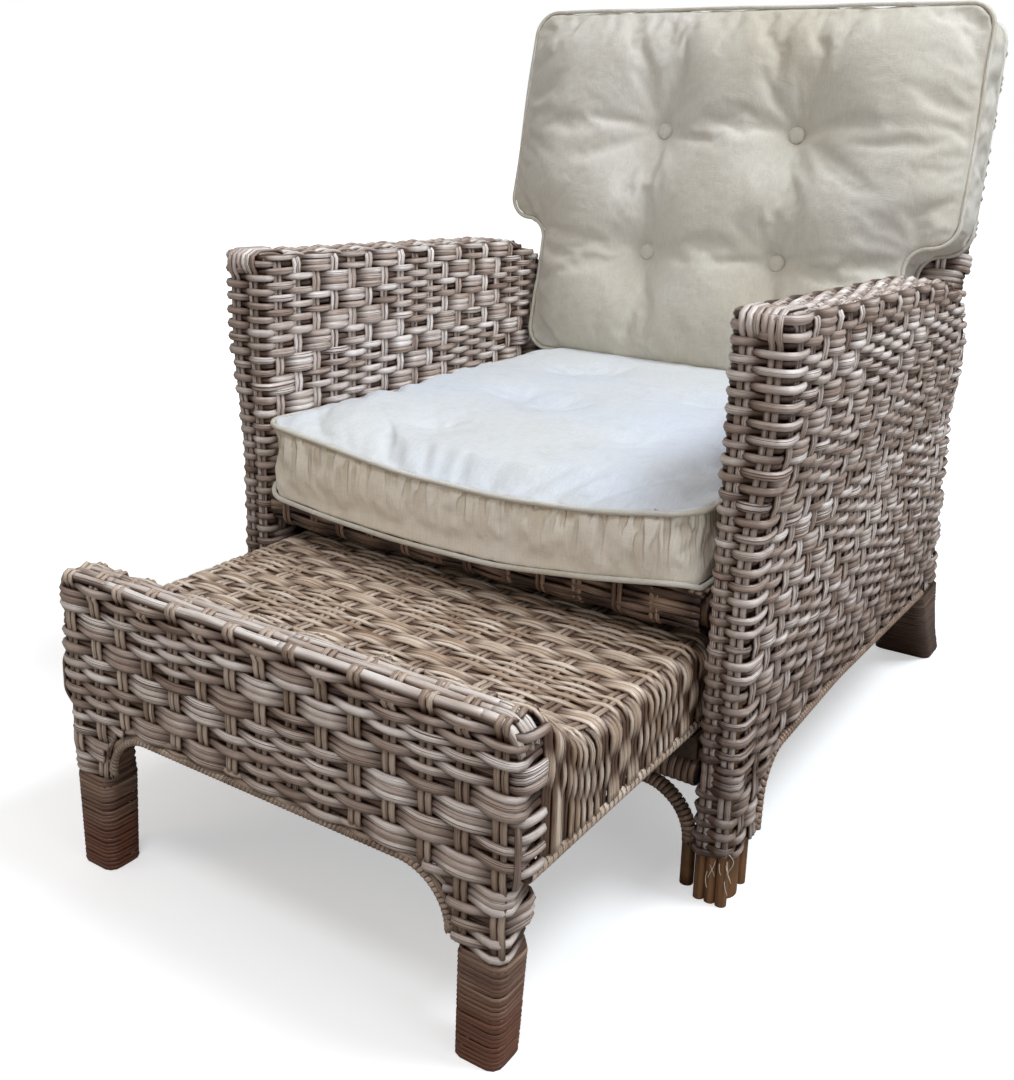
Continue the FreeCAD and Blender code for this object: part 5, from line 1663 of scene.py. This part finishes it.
# %% Gathers, tufts and boxing of the seat cushion
points = coordinates(seat_cushion)
share = np.clip((points[:, 2] - seat_low_z + 0.01) / (seat_high_z - seat_low_z), 0, 1)
gathers = np.zeros(len(points))
for place in np.cumsum(dice.uniform(0.014, 0.032, seat_gathers)) - seat_half:
    lean = place + 0.006 * (share - 0.5) * np.sin(place * 90)
    gathers += dice.uniform(0.4, 1.0) * hollow(points[:, 0] - lean, gather_width)
on_front = points[:, 1] < seat_front + 0.012
points[:, 1] -= on_front * gather_depth * (gathers - 0.5) * np.sin(share * math.pi) ** 0.7
on_top = points[:, 2] > seat_top_z
for x, y, depth in seat_tufts:
    far = far_from(points, (x, y))
    folds = 1 + 0.30 * np.cos(np.arctan2(points[:, 1] - y, points[:, 0] - x) * 5 + x * 60)
    dent = hollow(far, tuft_width) * folds + 0.5 * hollow(far, tuft_slope_width)
    points[:, 2] -= on_top * depth * dent
set_coordinates(seat_cushion, points)
finish_cushion(seat_cushion, sky_tinted_seat_cloth, "seat_cushion")

seat_cushion.data.materials.append(boxing_cloth_lit_and_fold_shaded)
centres = np.empty(len(seat_cushion.data.polygons) * 3, np.float32)
seat_cushion.data.polygons.foreach_get("center", centres)
centres = centres.reshape(-1, 3)
x, y = np.abs(centres[:, 0]), centres[:, 1]
side_gap = np.minimum(np.minimum(y - seat_front, seat_rear - y), seat_half - x)
for index in np.flatnonzero(side_gap < seat_boxing_edge):
    centre = centres[index]
    gaps = np.linalg.norm(seat_outline - centre[:2], axis=1)
    beside = np.argmin(gaps)
    if centre[2] < seat_seams["upper"][beside, 2] + 0.0005 and gaps[beside] < seat_boxing_edge:
        seat_cushion.data.polygons[int(index)].material_index = 1
for word, seam in seat_seams.items():
    sew_piping("seat_cushion", word, seam, set_out=0.0018)

# %% [markdown]
# ## The back cushion
# The back cushion is shaped like a T: its wings reach over the ends of the arms. It's made lying flat,
# with its length along y, and then leaned against the back. Four covered buttons pull it in, and the
# cloth creases between and beside them.

# %% Back cushion
back_wide = 0.3545
back_narrow = 0.2880
back_length = 0.521
back_thick = 0.082
wing_start = 0.195
wing_corner = 0.034
notch_corner = 0.0339
back_sink = 0.012
back_outline_steps = 620
crease_width = 0.0062
rim_width = 0.0042
rim_depth = 0.0042
rim_radius = 0.0150
button_x = 0.105
button_y = (0.156, 0.341)
button_places = [(x, y) for y in button_y for x in (-button_x, button_x)]
lean_turn = math.radians(90) - recline
back_base = Vector((0, 0.4104, 0.4450))
creases = ((button_x, button_y[0], button_x, button_y[1], 0.0050),
           (button_x, button_y[1], back_wide - 0.05, 0.352, 0.0036),
           (button_x, button_y[0], back_narrow - 0.02, 0.170, 0.0040),
           (button_x, button_y[1], button_x + 0.02, 0.48, 0.0030),
           (-button_x, button_y[1], button_x, button_y[1], 0.0012))


def lean_back(points):
    """Stand a shape that lies flat up against the back."""
    cos, sin = math.cos(lean_turn), math.sin(lean_turn)
    x, y, z = points.T
    return xyz(x + back_base.x, y * cos - z * sin + back_base.y, y * sin + z * cos + back_base.z)


def button_dent(points, depth, width):
    return sum(depth * hollow(far_from(points, place), width) for place in button_places)


def outer_corner(first, second):
    on_wing = abs(abs(first.x) - back_wide) < 1e-4
    at_side = abs(abs(first.x) - back_narrow) < 1e-4
    at_end = first.y < 0 or abs(first.y - wing_start) < 1e-4
    return upright(first, second) and (on_wing or at_side and at_end)


back_cushion = rough_box("back_cushion_cover", (-back_narrow, -back_sink, 0.0),
                         (back_narrow, back_length, back_thick))
enter("EDIT")
bpy.ops.mesh.select_all(action="SELECT")
bpy.ops.mesh.bisect(plane_co=(0, wing_start, 0), plane_no=(0, 1, 0))
bpy.ops.mesh.select_mode(type="FACE")
for hand in (-1, 1):
    bpy.ops.mesh.select_all(action="DESELECT")
    enter("OBJECT")
    for face in back_cushion.data.polygons:
        face.select = face.normal.x * hand > 0.9 and face.center.y > wing_start
    enter("EDIT")
    wing = (hand * (back_wide - back_narrow), 0, 0)
    bpy.ops.mesh.extrude_region_move(TRANSFORM_OT_translate={"value": wing})
enter("OBJECT")
round_edges(back_cushion, outer_corner, wing_corner)

right_half = [(back_narrow, -back_sink), (back_narrow, wing_start), (back_wide, wing_start),
              (back_wide, back_length)]
back_corners = [(-back_narrow, -back_sink), *right_half, *((-x, y) for x, y in right_half[:0:-1])]
back_turns = [wing_corner] * 8
back_turns[3] = back_turns[6] = notch_corner
back_outline = rounded_loop(back_corners, back_turns, back_outline_steps)
ripple = 0.0015 * np.sin(np.arange(len(back_outline)) * 0.11)
back_seams = {"rear": xyz(*back_outline.T, seam_inset),
              "front": xyz(*back_outline.T, back_thick - seam_inset + ripple)}

points = coordinates(back_cushion)
points += dice.normal(0, cloth_noise, points.shape)
on_front = points[:, 2] > back_thick * 0.7
boxing = between_seams(points, 0.0, back_thick, 0.014)
points[:, 2] -= on_front * button_dent(points, depth=0.012, width=0.022)
set_coordinates(back_cushion, points)
pinned = near_seams(points, back_seams) | (points[:, 2] < 0.003)
for place in button_places:
    pinned |= on_front & (far_from(points, place) < 0.010)
fill_with_air(back_cushion, pinned, boxing, cap=0.034, pressure=5.0, extra=0.06, extra_boxing=0.09)

# %% Creases of the back cushion
points = coordinates(back_cushion)
on_front = points[:, 2] > back_thick * 0.7
for hand in (-1, 1):
    for x_from, y_from, x_to, y_to, depth in creases:
        first = np.array([hand * x_from, y_from])
        run = np.array([hand * x_to, y_to]) - first
        share = np.clip(((points[:, :2] - first) @ run) / (run @ run), 0, 1)
        bow = 0.006 * np.sin(share * math.pi)
        line = first + share[:, None] * run + np.stack([bow * 0.3, bow], axis=1)
        far = np.linalg.norm(points[:, :2] - line, axis=1)
        fading = np.minimum(1, (1 - share) * 2.5 + 0.15)
        points[:, 2] -= on_front * depth * fading * hollow(far, crease_width)
for place in button_places:
    points[:, 2] -= on_front * rim_depth * hollow(far_from(points, place) - rim_radius, rim_width)
set_coordinates(back_cushion, lean_back(points))
finish_cushion(back_cushion, shaded_back_cloth, "back_cushion")
for word, seam in back_seams.items():
    sew_piping("back_cushion", word, seam, set_out=0.0016, stand=lean_back)

# %% Covered buttons
button_radius = 0.0122
button_flatness = 0.42
button_proud = 0.0026
front_points = points[on_front]


def covered_button(index, place):
    """A button covered with the same cloth: a flattened dome with a drawn-in rim."""
    bpy.ops.object.select_all(action="DESELECT")
    bpy.ops.mesh.primitive_uv_sphere_add(segments=24, ring_count=14, radius=button_radius,
                                         location=(0, 0, 0), scale=(1, 1, button_flatness))
    piece = bpy.context.object
    piece.name = f"covered_button_{index}"
    bpy.ops.object.transform_apply(location=True, rotation=True, scale=True)
    dome = coordinates(piece)
    dome[:, :2] *= (1 + 0.02 * np.cos(np.arctan2(dome[:, 1], dome[:, 0]) * 9))[:, None]
    cover = front_points[np.argsort(far_from(front_points, place))[:12]]
    set_coordinates(piece, lean_back(dome + np.array([*place, np.mean(cover[:, 2]) + button_proud])))
    bpy.ops.object.shade_smooth()
    piece.data.materials.append(shaded_back_cloth)
    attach(piece, "back_cushion")
    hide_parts("back_cushion_buttons")


for index, place in enumerate(button_places):
    covered_button(index, place)
print("buttons", len(button_places))
